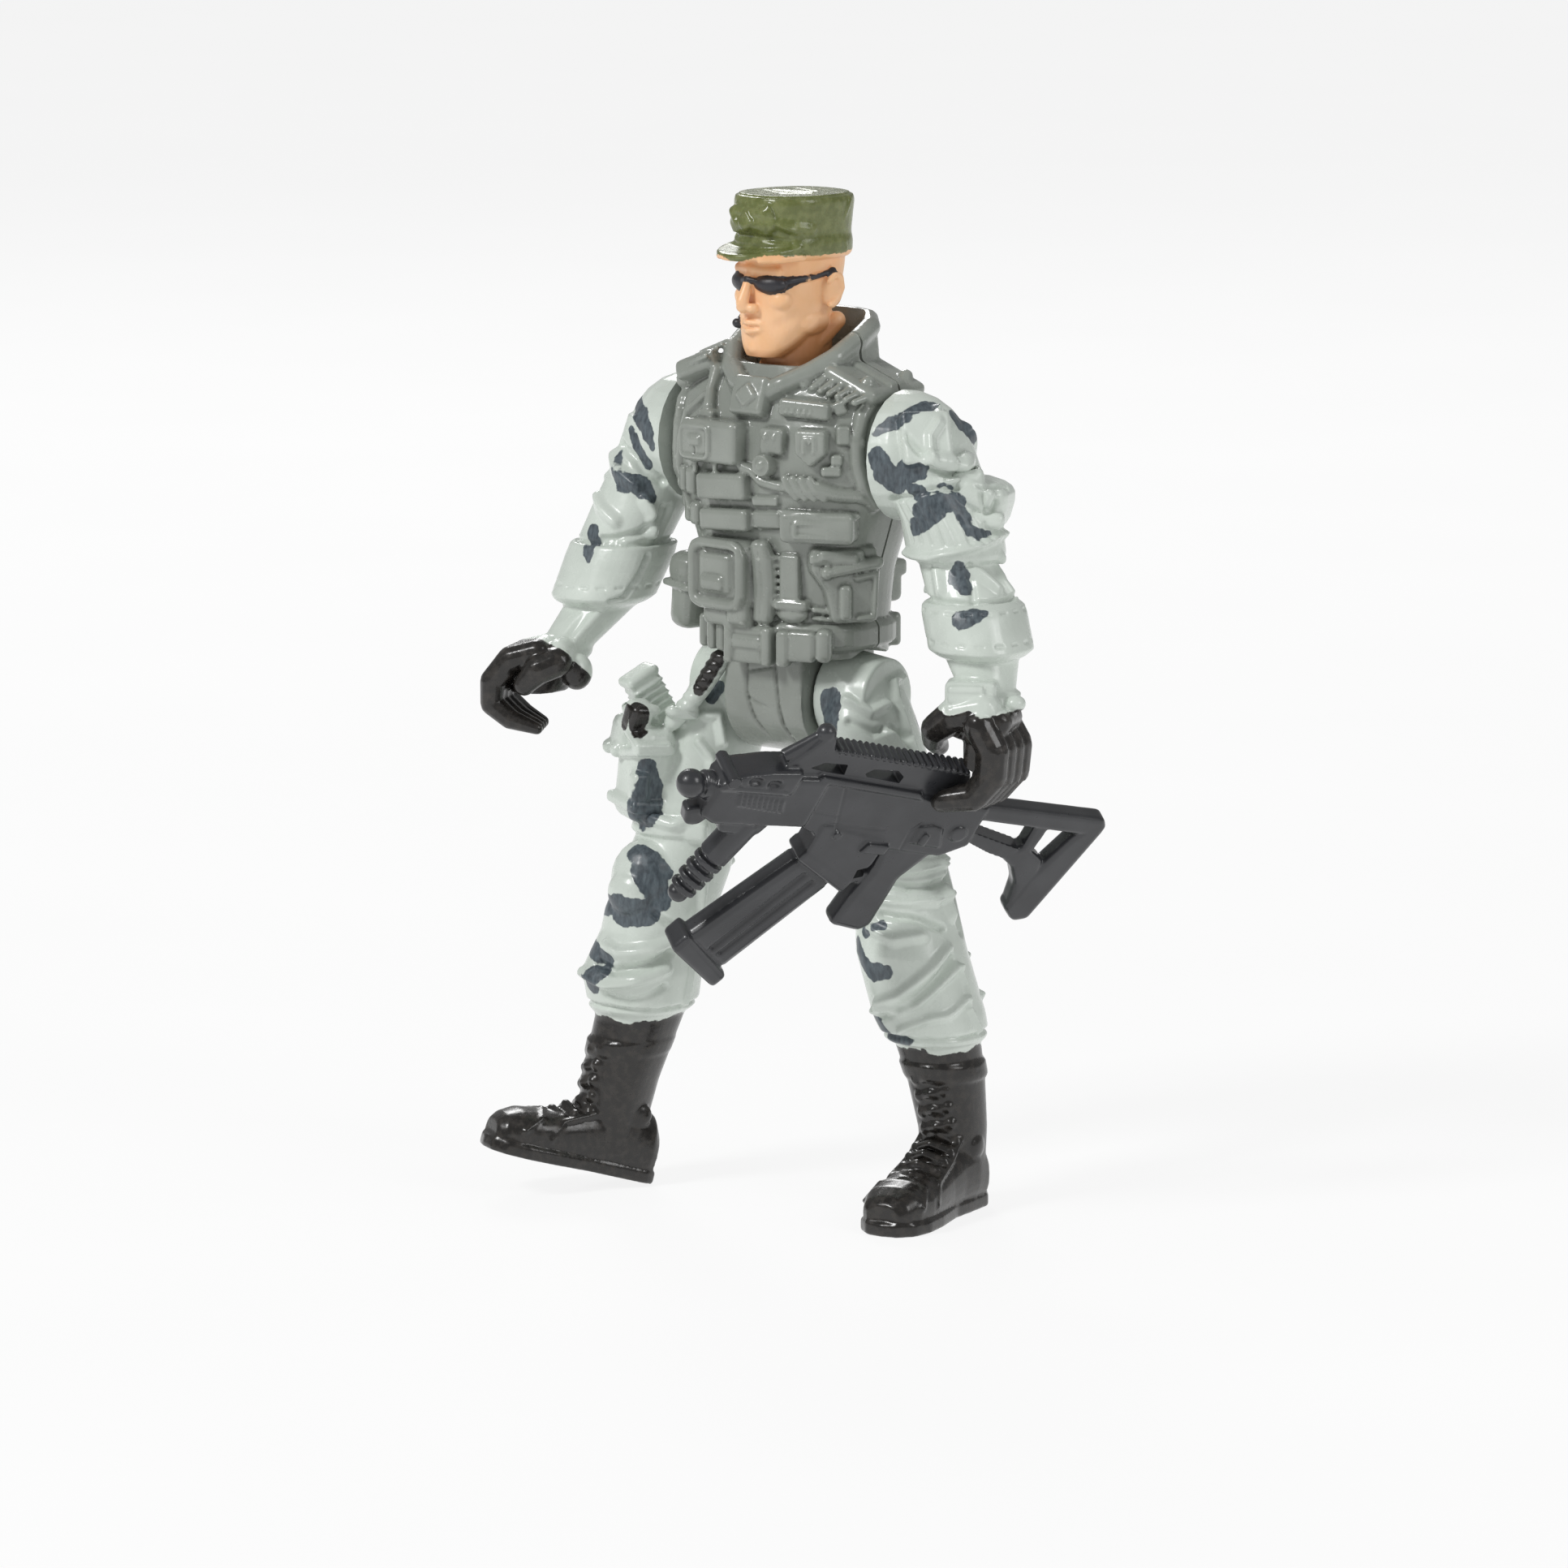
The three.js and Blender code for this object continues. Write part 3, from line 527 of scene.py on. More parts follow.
VEST = [
    [53.0, 0, 0, 8.6, 6.3], [57.0, 0, 0, 8.8, 6.4], [61.0, 0, 0, 9.2, 6.6], [66.0, 0, 0, 10.8, 7.4],
    [70.0, 0, 0, 12.0, 8.0], [75.0, 0, 0, 12.0, 7.7], [78.0, 0, 0, 11.6, 6.2], [79.8, 0, 0, 8.2, 5.2],
    [80.6, 0, 0, 6.4, 5.0],
]
BELT_TOP, BELT_LOW = 56.4, 53.9


class Front:
    """Finds the vest's plain shell, so that what is sewn on it can lie on it."""

    def __init__(self):
        bm = bmesh.new()
        column(bm, VEST, power=2.7, soft=4)
        bm.normal_update()
        self.tree = BVHTree.FromBMesh(bm)
        bm.free()

    def at(self, x, z, out=0.0, back=False):
        side = 1 if back else -1
        hit = self.tree.ray_cast(Vector((x, side * 30, z)), Vector((0, -side, 0)))
        point = hit[0] if hit[0] else Vector((x, side * 3.0, z))
        return point + Vector((0, side * out, 0))

    def matrix(self, x, z, out=0.0, tilt=0.0, back=False, lean=0.0):
        """Where something flat lies on the shell: local -Y points outwards."""
        left, right = self.at(x - 0.8, z, 0, back), self.at(x + 0.8, z, 0, back)
        yaw = math.degrees(math.atan2(right.y - left.y, right.x - left.x))
        yaw = max(-50, min(50, yaw)) + (180 if back else 0)
        return place(self.at(x, z, out, back), (0, 0, yaw)) @ place((0, 0, 0), (lean, -tilt, 0))

    def line(self, pairs, out=0.0, back=False):
        return [self.at(x, z, out, back) for x, z in pairs]


def sewn(bm, front, x, z, wide, high, out, tilt=0.0, edge=0.6, **where):
    """A pouch or patch that stands out mm proud of the shell."""
    block(bm, front.matrix(x, z, 0, tilt, **where), (wide, 2 * out, high), edge)


def framed(bm, front, x, z, wide, high, out, edge_wide, tilt=0.0, **where):
    """A rounded frame of welt round a pouch's lid."""
    flat = front.matrix(x, z, 0, tilt, **where)
    w, h, y = wide / 2, high / 2, -out
    c = min(w, h) * 0.35  # how far the corners are rounded
    corners = [(-w + c, h), (w - c, h), (w - 0.3 * c, h - 0.3 * c), (w, h - c), (w, -h + c),
               (w - 0.3 * c, -h + 0.3 * c),
               (w - c, -h), (-w + c, -h), (-w + 0.3 * c, -h + 0.3 * c), (-w, -h + c), (-w, h - c),
               (-w + 0.3 * c, h - 0.3 * c), (-w + c, h)]
    piping(bm, [flat @ Vector((a, y, c)) for a, c in corners], edge_wide)


def vest_front_load(bm, front):
    """The pouches, straps and plates on the chest, from the collar to the belt."""
    # big chest pouch with its lid frame and a plain tab
    sewn(bm, front, -3.9, 73.4, 7.0, 4.1, 1.7, 0, 0.55)
    framed(bm, front, -5.3, 73.3, 3.7, 3.0, 1.72, 0.22)
    sewn(bm, front, -5.3, 73.4, 1.7, 1.0, 2.0, 0, 0.3)
    # aerial between the shoulder pad and the chest pouch
    piping(bm, front.line([(-6.0, 79.6), (-5.8, 78.0), (-5.3, 76.4)], 0.5), [0.75, 0.5, 0.62])
    sewn(bm, front, -5.2, 75.8, 2.0, 0.8, 1.0, 0, 0.3)
    # badge plate at the throat, with a plain raised lozenge
    flat = place((-0.3, -6.9, 77.7), (-20, 0, 0))
    block(bm, flat, (3.9, 2.2, 3.8), 0.45)
    block(bm, flat @ place((0, -1.1, -0.1), (0, 45, 0)), (1.7, 0.7, 1.7), 0.2)
    bead(bm, (-0.3, -8.1, 77.4), (0.45, 0.4, 0.45))
    # pen pouch with its ribs and end flap
    sewn(bm, front, 5.7, 77.0, 5.2, 1.7, 1.3, -3, 0.4)
    for k in range(5):
        x = 4.3 + 0.62 * k
        piping(bm, front.line([(x, 76.7), (x, 77.4)], 1.3), 0.16)
    sewn(bm, front, 8.7, 77.2, 1.2, 1.3, 0.9, 20, 0.3)
    # tag with a round stud, on its strap
    sewn(bm, front, 2.9, 73.9, 2.6, 2.5, 1.0, 0, 0.4)
    for x in (2.4, 3.4):
        bead(bm, front.at(x, 74.3, 1.0), (0.28, 0.3, 0.4))
    rod(bm, front.at(2.2, 71.6, 0), front.at(2.2, 71.6, 1.35), 1.15, 1.0)
    rod(bm, front.at(2.2, 71.6, 0), front.at(2.2, 71.6, 1.6), 0.5, 0.42)
    # shield-shaped plate with a raised bar
    flat = front.matrix(6.9, 73.7)
    shield = [(-1.5, 1.5), (1.5, 1.5), (1.5, -0.7), (0, -2.0), (-1.5, -0.7)]
    plate(bm, flat @ place((0, -0.5, 0), (90, 0, 0)), shield, 1.7, 0.3)
    piping(bm, [flat @ Vector(p) for p in ((-0.5, -1.4, -0.6), (-0.5, -1.4, 0.7), (0.5, -1.4, 0.7),
                                           (0.5, -1.4, -0.5))], 0.2)
    for x, z, wide, high in ((9.4, 74.7, 1.3, 1.8), (9.0, 72.4, 1.1, 1.0), (8.6, 71.3, 1.9, 0.9),
                             (10.6, 74.0, 0.9, 0.9)):
        sewn(bm, front, x, z, wide, high, 0.7, 0, 0.25)
    # two strap bars with the dark gaps between them
    for z, high in ((69.2, 2.5), (66.0, 2.1)):
        sewn(bm, front, -2.7, z, 5.9, high, 1.35, 3, 0.45)
        sewn(bm, front, -7.0, z + 0.1, 1.5, high + 0.2, 0.9, 0, 0.5)
        sewn(bm, front, -8.6, z + 0.1, 1.2, high, 0.7, 0, 0.4)
    for x in (-6.3, -3.6):
        piping(bm, front.line([(x, 71.6), (x, 70.4)], 0.7), 0.28)
    sewn(bm, front, 1.9, 68.1, 3.0, 0.9, 0.5, 3, 0.2)
    sewn(bm, front, 1.9, 66.3, 3.2, 1.6, 0.55, 3, 0.25)
    # hose that crosses from the pouch to the armhole, ribbed in its middle
    piping(bm, front.line([(-0.6, 71.2), (0.6, 70.9), (1.6, 70.0), (3.3, 69.7), (4.6, 69.6)], 0.35), 0.5)
    piping(bm, front.line([(7.4, 69.6), (9.0, 69.1), (10.6, 68.9), (11.2, 68.0)], 0.3), [0.75, 0.65, 0.6, 0.5])
    for k in range(4):
        x = 4.7 + 0.85 * k
        piping(bm, front.line([(x - 0.25, 70.5), (x + 0.3, 69.5), (x + 0.9, 68.7)], 0.6), [0.4, 0.5, 0.36])
    # slanting pouch below the hose
    sewn(bm, front, 7.0, 65.9, 7.2, 3.0, 1.35, 0, 0.6)
    framed(bm, front, 7.3, 65.7, 5.0, 1.3, 1.28, 0.2)
    piping(bm, front.line([(3.9, 67.3), (7.4, 67.2), (10.4, 67.0)], 1.0), 0.26)
    # sheath on the left side: top bar, stud, roll and a framed pocket
    sewn(bm, front, 7.8, 62.9, 4.6, 1.1, 1.2, 0, 0.35)
    flat = front.matrix(8.2, 60.8) @ place((0, 0.3, 0))
    side = [(-3.3, 3.1), (3.0, 3.1), (3.4, 1.0), (3.0, -4.1), (-1.2, -4.1), (-1.9, -1.0), (-3.3, 1.0)]
    plate(bm, flat @ place((0, 0, 0), (90, 0, 0)), side, 2.6, 0.4)
    block(bm, flat @ place((-0.5, -1.3, 2.4)), (4.4, 1.2, 1.1), 0.4)
    piping(bm, [flat @ Vector((-1.3, -1.7, 0.9)), flat @ Vector((3.0, -1.6, 1.7))], [0.5, 0.62])
    bead(bm, flat @ Vector((-1.9, -1.6, 0.8)), 0.62)
    block(bm, flat @ place((-0.1, -1.4, -2.1)), (1.2, 1.3, 3.4), 0.45)
    piping(bm, [flat @ Vector(p) for p in ((1.0, -1.4, 0.2), (2.9, -1.4, 0.6), (2.7, -1.4, -3.6),
                                           (1.2, -1.4, -3.6))], 0.3)


def vest_middle_load(bm, front):
    """The belly pouches, the belt and what hangs at the sides."""
    # belly pouch: thick frame, sunk lid and tab
    sewn(bm, front, -3.0, 60.8, 7.0, 6.6, 2.1, 0, 0.9)
    framed(bm, front, -3.1, 60.8, 6.2, 5.7, 2.15, 0.55)
    block(bm, front.matrix(-3.2, 61.0, 0), (4.6, 5.2, 4.4), 0.9)
    block(bm, front.matrix(-3.2, 60.0, 0), (3.0, 6.2, 1.5), 0.5)
    for x in (0.9, 1.6):
        piping(bm, front.line([(x, 63.7), (x + 0.2, 62.6), (x + 0.2, 60.0), (x - 0.1, 57.0)], 0.8),
               [0.7, 0.85, 0.85, 0.75])
    # pouch under it
    sewn(bm, front, -2.6, 57.2, 5.8, 2.8, 2.0, 0, 0.6)
    sewn(bm, front, -1.0, 57.4, 2.4, 2.6, 2.5, 0, 0.6)
    # strap with snaps over a ribbed holder
    sewn(bm, front, 3.9, 60.8, 2.0, 4.6, 0.9, 0, 0.3)
    for k in range(6):
        bead(bm, front.at(2.6, 62.7 - 0.72 * k, 0.5), (0.36, 0.4, 0.26))
    sewn(bm, front, 4.0, 58.3, 3.4, 1.0, 1.3, 0, 0.35)
    bead(bm, front.at(3.9, 57.4, 0.2), (1.7, 1.0, 0.9))
    sewn(bm, front, 6.6, 57.8, 2.2, 0.5, 0.6, -6, 0.2)
    sewn(bm, front, 6.6, 57.0, 2.2, 0.4, 0.5, -6, 0.2)
    # canteen on the right hip, lidded, in its sleeve
    can = place((-10.6, -2.6, 58.2), (0, 6, -14))
    block(bm, can @ place((0, 0, 1.9)), (3.8, 5.0, 3.4), 1.4)
    block(bm, can @ place((0.1, 0, -1.3)), (3.2, 4.4, 5.2), 1.2)
    block(bm, can @ place((0, 0, 0.4)), (4.0, 5.1, 0.7), 0.3)
    # belt, its end loops, buckle, studded pad and slide
    column(bm, [[BELT_LOW, 0, 0, 9.0, 6.6], [54.2, 0, 0, 9.35, 6.95], [56.1, 0, 0, 9.35, 6.95],
                [BELT_TOP, 0, 0, 9.0, 6.6]], 2.7, 48, 0.4, 0)
    for x in (-6.6, -5.2, -3.9):
        block(bm, front.matrix(x, 54.8, 0), (1.1, 2.6, 3.2), 0.4)
    block(bm, place((-0.3, -7.2, 54.2)), (5.4, 1.4, 3.6), 0.4)
    for x in (-2.5, 1.9):
        block(bm, place((x, -7.7, 54.2)), (1.0, 1.1, 3.7), 0.35)
    block(bm, place((-0.3, -7.8, 54.5)), (3.4, 0.8, 1.2), 0.3)
    block(bm, place((3.4, -7.0, 54.1), (0, 0, 8)), (1.3, 1.5, 3.5), 0.4)
    block(bm, place((5.2, -6.5, 54.4), (0, 0, 14)), (2.6, 1.3, 2.9), 0.3)
    for x in (4.5, 5.9):
        for z in (53.6, 55.1):
            bead(bm, (x, -7.15 + 0.25 * (x - 4.5), z), 0.24)
    block(bm, place((7.3, -5.9, 54.6), (0, 0, 24)), (1.5, 1.8, 3.2), 0.6)


def vest_back_load(bm, front):
    """The unseen back: a plain panel with webbing rows, a bedroll pouch and the belt's keepers."""
    for z in (75.4, 73.2, 71.0):
        sewn(bm, front, 0, z, 13.0, 1.1, 0.45, 0, 0.3, back=True)
        for x in (-4.8, -1.6, 1.6, 4.8):
            sewn(bm, front, x, z, 0.5, 1.5, 0.6, 0, 0.2, back=True)
    sewn(bm, front, 0, 65.6, 10.5, 6.0, 2.0, 0, 1.0, back=True)
    framed(bm, front, 0, 65.4, 8.6, 4.2, 2.0, 0.3, back=True)
    for x in (-2.6, 2.6):
        sewn(bm, front, x, 65.9, 1.1, 6.4, 2.35, 0, 0.3, back=True)
        sewn(bm, front, x, 63.6, 1.7, 1.2, 2.7, 0, 0.3, back=True)
    for x in (-5.0, 5.0):
        sewn(bm, front, x, 59.4, 4.0, 4.2, 1.5, 0, 0.7, back=True)
        sewn(bm, front, x, 60.6, 4.2, 1.6, 1.8, 0, 0.4, back=True)
        bead(bm, front.at(x, 60.0, 1.8, True), 0.35)
    for x in (-7.4, -2.0, 2.0, 7.4):
        block(bm, front.matrix(x, 55.0, 0, back=True), (1.3, 2.2, 3.2), 0.4)


def shoulder_pads(bm):
    """Ribbed pads and the strap over each shoulder seam."""
    for side in (-1, 1):
        pad = place((side * 8.8, 0, 79.3), (0, side * 22, 0))
        block(bm, pad @ place((0, 0.0, -0.2)), (6.4, 8.8, 1.6), 0.7)
        block(bm, pad @ place((side * 0.2, 0.2, 0.4)), (5.2, 3.0, 1.2), 0.5)
    for k in range(7):  # fan of ribs down the front of the left pad
        x = 4.9 + 0.98 * k
        top = Vector((x + 0.7, -2.7, 80.7 - 0.4 * (x - 4.9)))
        low = Vector((x - 0.3, -5.5, 79.0 - 0.2 * (x - 4.9)))
        piping(bm, [top, (top + low) / 2 + Vector((0, -0.1, 0.1)), low], [0.34, 0.38, 0.34])
    block(bm, place((-8.3, -4.2, 79.6), (-24, -22, 6)), (4.6, 3.4, 2.0), 0.6)
    for k in range(5):  # slanting ribs on the right pad
        y = -5.4 + 0.85 * k
        piping(bm, [(-10.2, y, 79.6 + 0.28 * k), (-6.6, y - 0.6, 81.0 + 0.28 * k)], 0.26)


def armhole_welts(bm, front):
    rim = [(10.2, 79.4), (10.5, 78.2), (10.5, 76.4), (10.4, 74.2), (10.5, 72.0), (10.8, 70.0), (11.0, 68.0)]
    for side in (-1, 1):
        for back in (False, True):
            piping(bm, front.line([(side * x, z) for x, z in rim], 0.0, back), 0.75)


COLLAR_RIM = [(0.8, -6.7, 78.0), (2.6, -6.2, 79.0), (4.6, -4.6, 80.1), (6.0, -2.4, 81.4), (6.4, 0.6, 82.9),
              (5.9, 3.2, 83.8), (4.2, 5.2, 84.2), (2.1, 6.2, 84.2), (0, 6.4, 84.2)]
COLLAR_FOOT = [(1.6, -5.6, 76.6), (3.2, -5.4, 77.2), (5.2, -4.2, 78.2), (6.6, -1.9, 78.8), (7.0, 0.6, 79.0),
               (6.6, 3.0, 79.0), (4.8, 5.0, 78.8), (2.4, 5.8, 78.6), (0, 6.0, 78.6)]


def collar(bm):
    """A stand-up collar with a rounded rim, open to a V at the throat."""
    layers = 13
    for side in (-1, 1):
        for k in range(layers + 1):
            share = k / layers
            line = []
            for rim, foot in zip(COLLAR_RIM, COLLAR_FOOT):
                point = Vector(rim).lerp(Vector(foot), share)
                line.append((side * point.x, point.y, point.z))
            piping(bm, line, 1.0 if k == 0 else 0.66)


def crotch(bm):
    rod(bm, (-HIP_X, 0, HIP_Z), (HIP_X, 0, HIP_Z), 5.9, sides=64)
    block(bm, place((0, 0, HIP_Z + 3)), (2 * HIP_X, 11.8, 6.2), 0.3)


def vest_whole():
    """The closed vest before it is hollowed and split along the shoulders."""
    front = Front()
    bm = bmesh.new()
    column(bm, VEST, power=2.7, sides=64, soft=4)
    collar(bm)
    crotch(bm)
    shoulder_pads(bm)
    armhole_welts(bm, front)
    vest_front_load(bm, front)
    vest_middle_load(bm, front)
    vest_back_load(bm, front)
    # edge welt of the chest panel, and the webbing blocks outside it
    piping(bm, front.line([(-6.5, 77.4), (-8.7, 75.6), (-9.6, 73.0), (-9.8, 70.4), (-8.9, 67.8), (-8.2, 66.4)],
                          0.3), 0.36)
    for x, z in ((-10.6, 75.1), (-11.0, 72.9), (-11.0, 70.8), (-10.8, 68.9), (-10.2, 67.1)):
        sewn(bm, front, x, z, 1.9, 1.8, 0.55, 0, 0.35)
    obj = fused("vest", bm, VEST_VOXEL, 2)
    creases = [
        (front.line([(-5.6, 74.7), (-5.6, 71.9)], 1.7), 0.2, -0.12),
        (front.line([(-1.5, 58.5), (-1.5, 56.3)], 1.5), 0.3, -0.25),
        (front.line([(-4.6, 58.5), (-4.5, 56.3)], 1.5), 0.3, -0.2),
        (front.line([(-4.6, 63.0), (-0.6, 63.0)], 2.2), 0.5, -0.2),
        ([(-1.9, -5.9, 52.2), (-1.9, -6.0, 49.5), (-1.2, -5.5, 46.6), (-0.2, -4.4, 44.7)], 0.35, -0.22),
        ([(1.4, -5.9, 52.2), (1.9, -6.0, 48.5), (2.1, -5.3, 46.2), (2.6, -4.0, 44.3)], 0.35, -0.22),
        ([(-1.6, -6, 48.8), (1.3, -6, 47.8)], 0.3, -0.18),
        ([(-1.1, -6, 46.2), (1.9, -6, 46.6)], 0.3, -0.18),
        ([(-1.6, -6, 51.4), (1.1, -6, 52.0)], 0.3, -0.18),
        ([(-0.3, -8.6, 55.3), (0.6, -8.6, 55.3)], 0.5, -0.4),
        ([(9.0, -6.6, 60.6), (9.6, -6.4, 57.6)], 0.35, 0.3),
        ([(10.9, -5.4, 60.8), (10.9, -5.2, 57.6)], 0.9, -0.45),
        ([(12.2, -3.9, 61.6), (12.0, -3.6, 57.6)], 0.4, 0.3),
        ([(8.9, -6.7, 61.4), (12.2, -4.2, 62.0)], 0.45, 0.4),
    ]
    sculpt(obj, creases)
    return obj


def hollow(obj):
    """The space inside the vest: its cavity, the bores for the pegs and the flange rooms."""
    wall = 1.9
    inside = [[z, x, y, a - wall, b - wall] for z, x, y, a, b in VEST if 56 < z < 73]
    cut(obj, column, inside + [[73.9, 0, 0, 10.0, 5.6]], 2.7, 32, 1.5, 0)
    cut(obj, rod, (0, -0.5, 73.0), (0, -0.5, 78.6), BORE_RADIUS)
    for z, reach, flange in ((SHOULDER_Z, 14.0, 10.0), (HIP_Z, 5.0, 3.0)):
        cut(obj, rod, (-reach, 0, z), (reach, 0, z), BORE_RADIUS)
        cut(obj, rod, (-flange, 0, z), (flange, 0, z), FLANGE_ROOM)


def neck_well(obj):
    cut(obj, column, [[77.4, 0, 0.2, 4.6, 4.5], [81.0, 0, 0.3, 5.2, 5.2], [83.6, 0, 0.5, 5.5, 5.2],
                      [86.5, 0, 0.7, 6.1, 5.7]], 2.3, 40, 0.6, 2)


def limb_room(obj):
    """What the arms and the legs' hubs sweep through."""
    for side in (-1, 1):
        cut(obj, rod, (side * HIP_X, 0, HIP_Z), (side * 14, 0, HIP_Z), HUB_ROOM, HUB_ROOM, 48)
        cut(obj, block, place((side * (SHOULDER_X + 5), 0, 71.5)), (10, 30, 18), 0.02)


def torso_halves(material):
    whole = vest_whole()
    neck_well(whole)
    hollow(whole)
    limb_room(whole)
    back = whole.copy()
    back.data = whole.data.copy()
    bpy.context.scene.collection.objects.link(back)
    for obj, name, side in ((whole, "torso_front_shell", -1), (back, "torso_back_shell", 1)):
        obj.name = name
        cut(obj, block, place((0, side * (15 + GAP / 2), 65)), (60, 30, 60), 0.01, keep_common=True)
        finish_piece(obj, material, name.replace("_shell", ""), "torso", 40)


# ---------------------------------------------------------------- head

HEAD_TURN = -12  # degrees: the head looks a little to the figure's right
BRIM_TILT, BRIM_Z = 8, 92.1  # degrees down to the front, and the height at the head's axis


def head_shapes(bm):
    column(bm, [[81.3, 0, -3.9, 1.9, 1.5], [82.0, 0, -3.3, 2.7, 2.3], [83.3, 0, -2.3, 3.4, 3.3],
                [85.0, 0, -1.5, 3.8, 4.2], [87.0, 0, -0.9, 4.0, 4.8], [89.4, 0, -0.6, 4.2, 5.1],
                [92.0, 0, -0.5, 4.3, 5.2]], 2.35, 40, 0.4, 2)
    rod(bm, (0, 0, 77.9), (0, 0, 85), 3.3, 3.4, 32)
    for side in (-1, 1):
        piping(bm, [(side * 3.2, 2.2, 84.5), (side * 1.6, -2.6, 79.4)], 0.9)  # neck tendon
        bead(bm, (side * 2.2, -4.1, 86.8), (1.5, 1.2, 1.2))  # cheekbone
        bead(bm, (side * 3.2, -0.9, 84.6), (0.9, 2.0, 1.3))  # corner of the jaw
        bead(bm, (side * 0.75, -6.15, 86.0), (0.55, 0.6, 0.5))  # wing of the nose
        ear_shape(bm, side)
    bead(bm, (0, -4.75, 82.2), (1.3, 1.0, 1.0))  # chin
    bead(bm, (0, -5.1, 84.3), (1.7, 0.9, 1.3))  # round of the mouth
    piping(bm, [(0, -5.75, 89.1), (0, -6.2, 88.0), (0, -6.8, 86.6), (0, -6.65, 86.1)], [0.5, 0.5, 0.62, 0.62])
    piping(bm, [(-2.7, -4.7, 89.5), (0, -5.6, 89.6), (2.7, -4.7, 89.5)], 0.55)  # brow
    piping(bm, [(-1.2, -5.55, 84.5), (0, -5.95, 84.6), (1.2, -5.55, 84.5)], [0.24, 0.42, 0.24])  # lips
    piping(bm, [(-1.0, -5.55, 83.9), (0, -5.9, 83.85), (1.0, -5.55, 83.9)], [0.24, 0.44, 0.24])


def ear_shape(bm, side):
    x = side * 4.45
    bead(bm, (x, 0.5, 87.5), (0.6, 1.1, 1.6), (0, 0, side * -18))
    rim = [(0.1, 86.3), (0.8, 86.8), (1.3, 87.8), (1.1, 88.8), (0.4, 89.1), (-0.2, 88.5)]
    piping(bm, [(x + side * 0.45, y, z) for y, z in rim], [0.4, 0.36, 0.36, 0.38, 0.36, 0.28])


def glasses_shapes(bm):
    for side in (-1, 1):
        bead(bm, (side * 2.0, -5.0, 88.3), (1.75, 0.95, 0.95), (0, 0, side * 22))
        piping(bm, [(side * 3.4, -3.9, 88.6), (side * 4.3, -1.8, 88.9), (side * 4.5, 0.2, 89.3)], [0.42, 0.3, 0.26])
        bead(bm, (side * 4.5, 0.5, 89.4), 0.42)
    piping(bm, [(-0.8, -5.9, 88.6), (0, -6.2, 88.7), (0.8, -5.9, 88.6)], 0.3)


def cap_shapes(bm):
    column(bm, [[90.6, 0, -0.4, 4.6, 5.2], [90.9, 0, -0.4, 4.95, 5.5], [92.3, 0, -0.4, 5.0, 5.55],
                [92.6, 0, -0.4, 4.8, 5.4], [93.4, 0, -0.4, 4.85, 5.45], [96.0, 0, -0.3, 5.1, 5.6],
                [96.4, 0, -0.3, 4.9, 5.4]], 2.4, 48, 0.3, 1)
    # crown: a raised seam round a flat top
    column(bm, [[95.6, 0, -0.3, 4.8, 5.3], [96.6, 0, -0.3, 4.6, 5.1]], 2.4, 48, 0.3, 0)
    piping(bm, [(-2.2, -1.2, 96.5), (1.8, 0.4, 96.5)], 0.22)
    # brim, curved down at both sides
    outline = [(4.6 * math.cos(math.pi * (1 + i / 14)),
                5.6 * math.sin(math.pi * (1 + i / 14)) - 3.2) for i in range(15)]
    plate(bm, place((0, 0, BRIM_Z), (BRIM_TILT, 0, 0)), outline, 0.7, 0.25)
    for side in (-1, 1):
        piping(bm, [(side * 4.4, -3.2, 90.9), (side * 4.0, -5.4, 90.8), (side * 2.9, -7.0, 90.8)], 0.4)
    # folded front panel and the plain lozenge in its middle
    block(bm, place((0, -5.4, 94.2), (4, 0, 0)), (5.4, 1.6, 3.0), 0.7)
    block(bm, place((0, -6.2, 94.2), (0, 45, 0)), (1.5, 0.7, 1.5), 0.2)


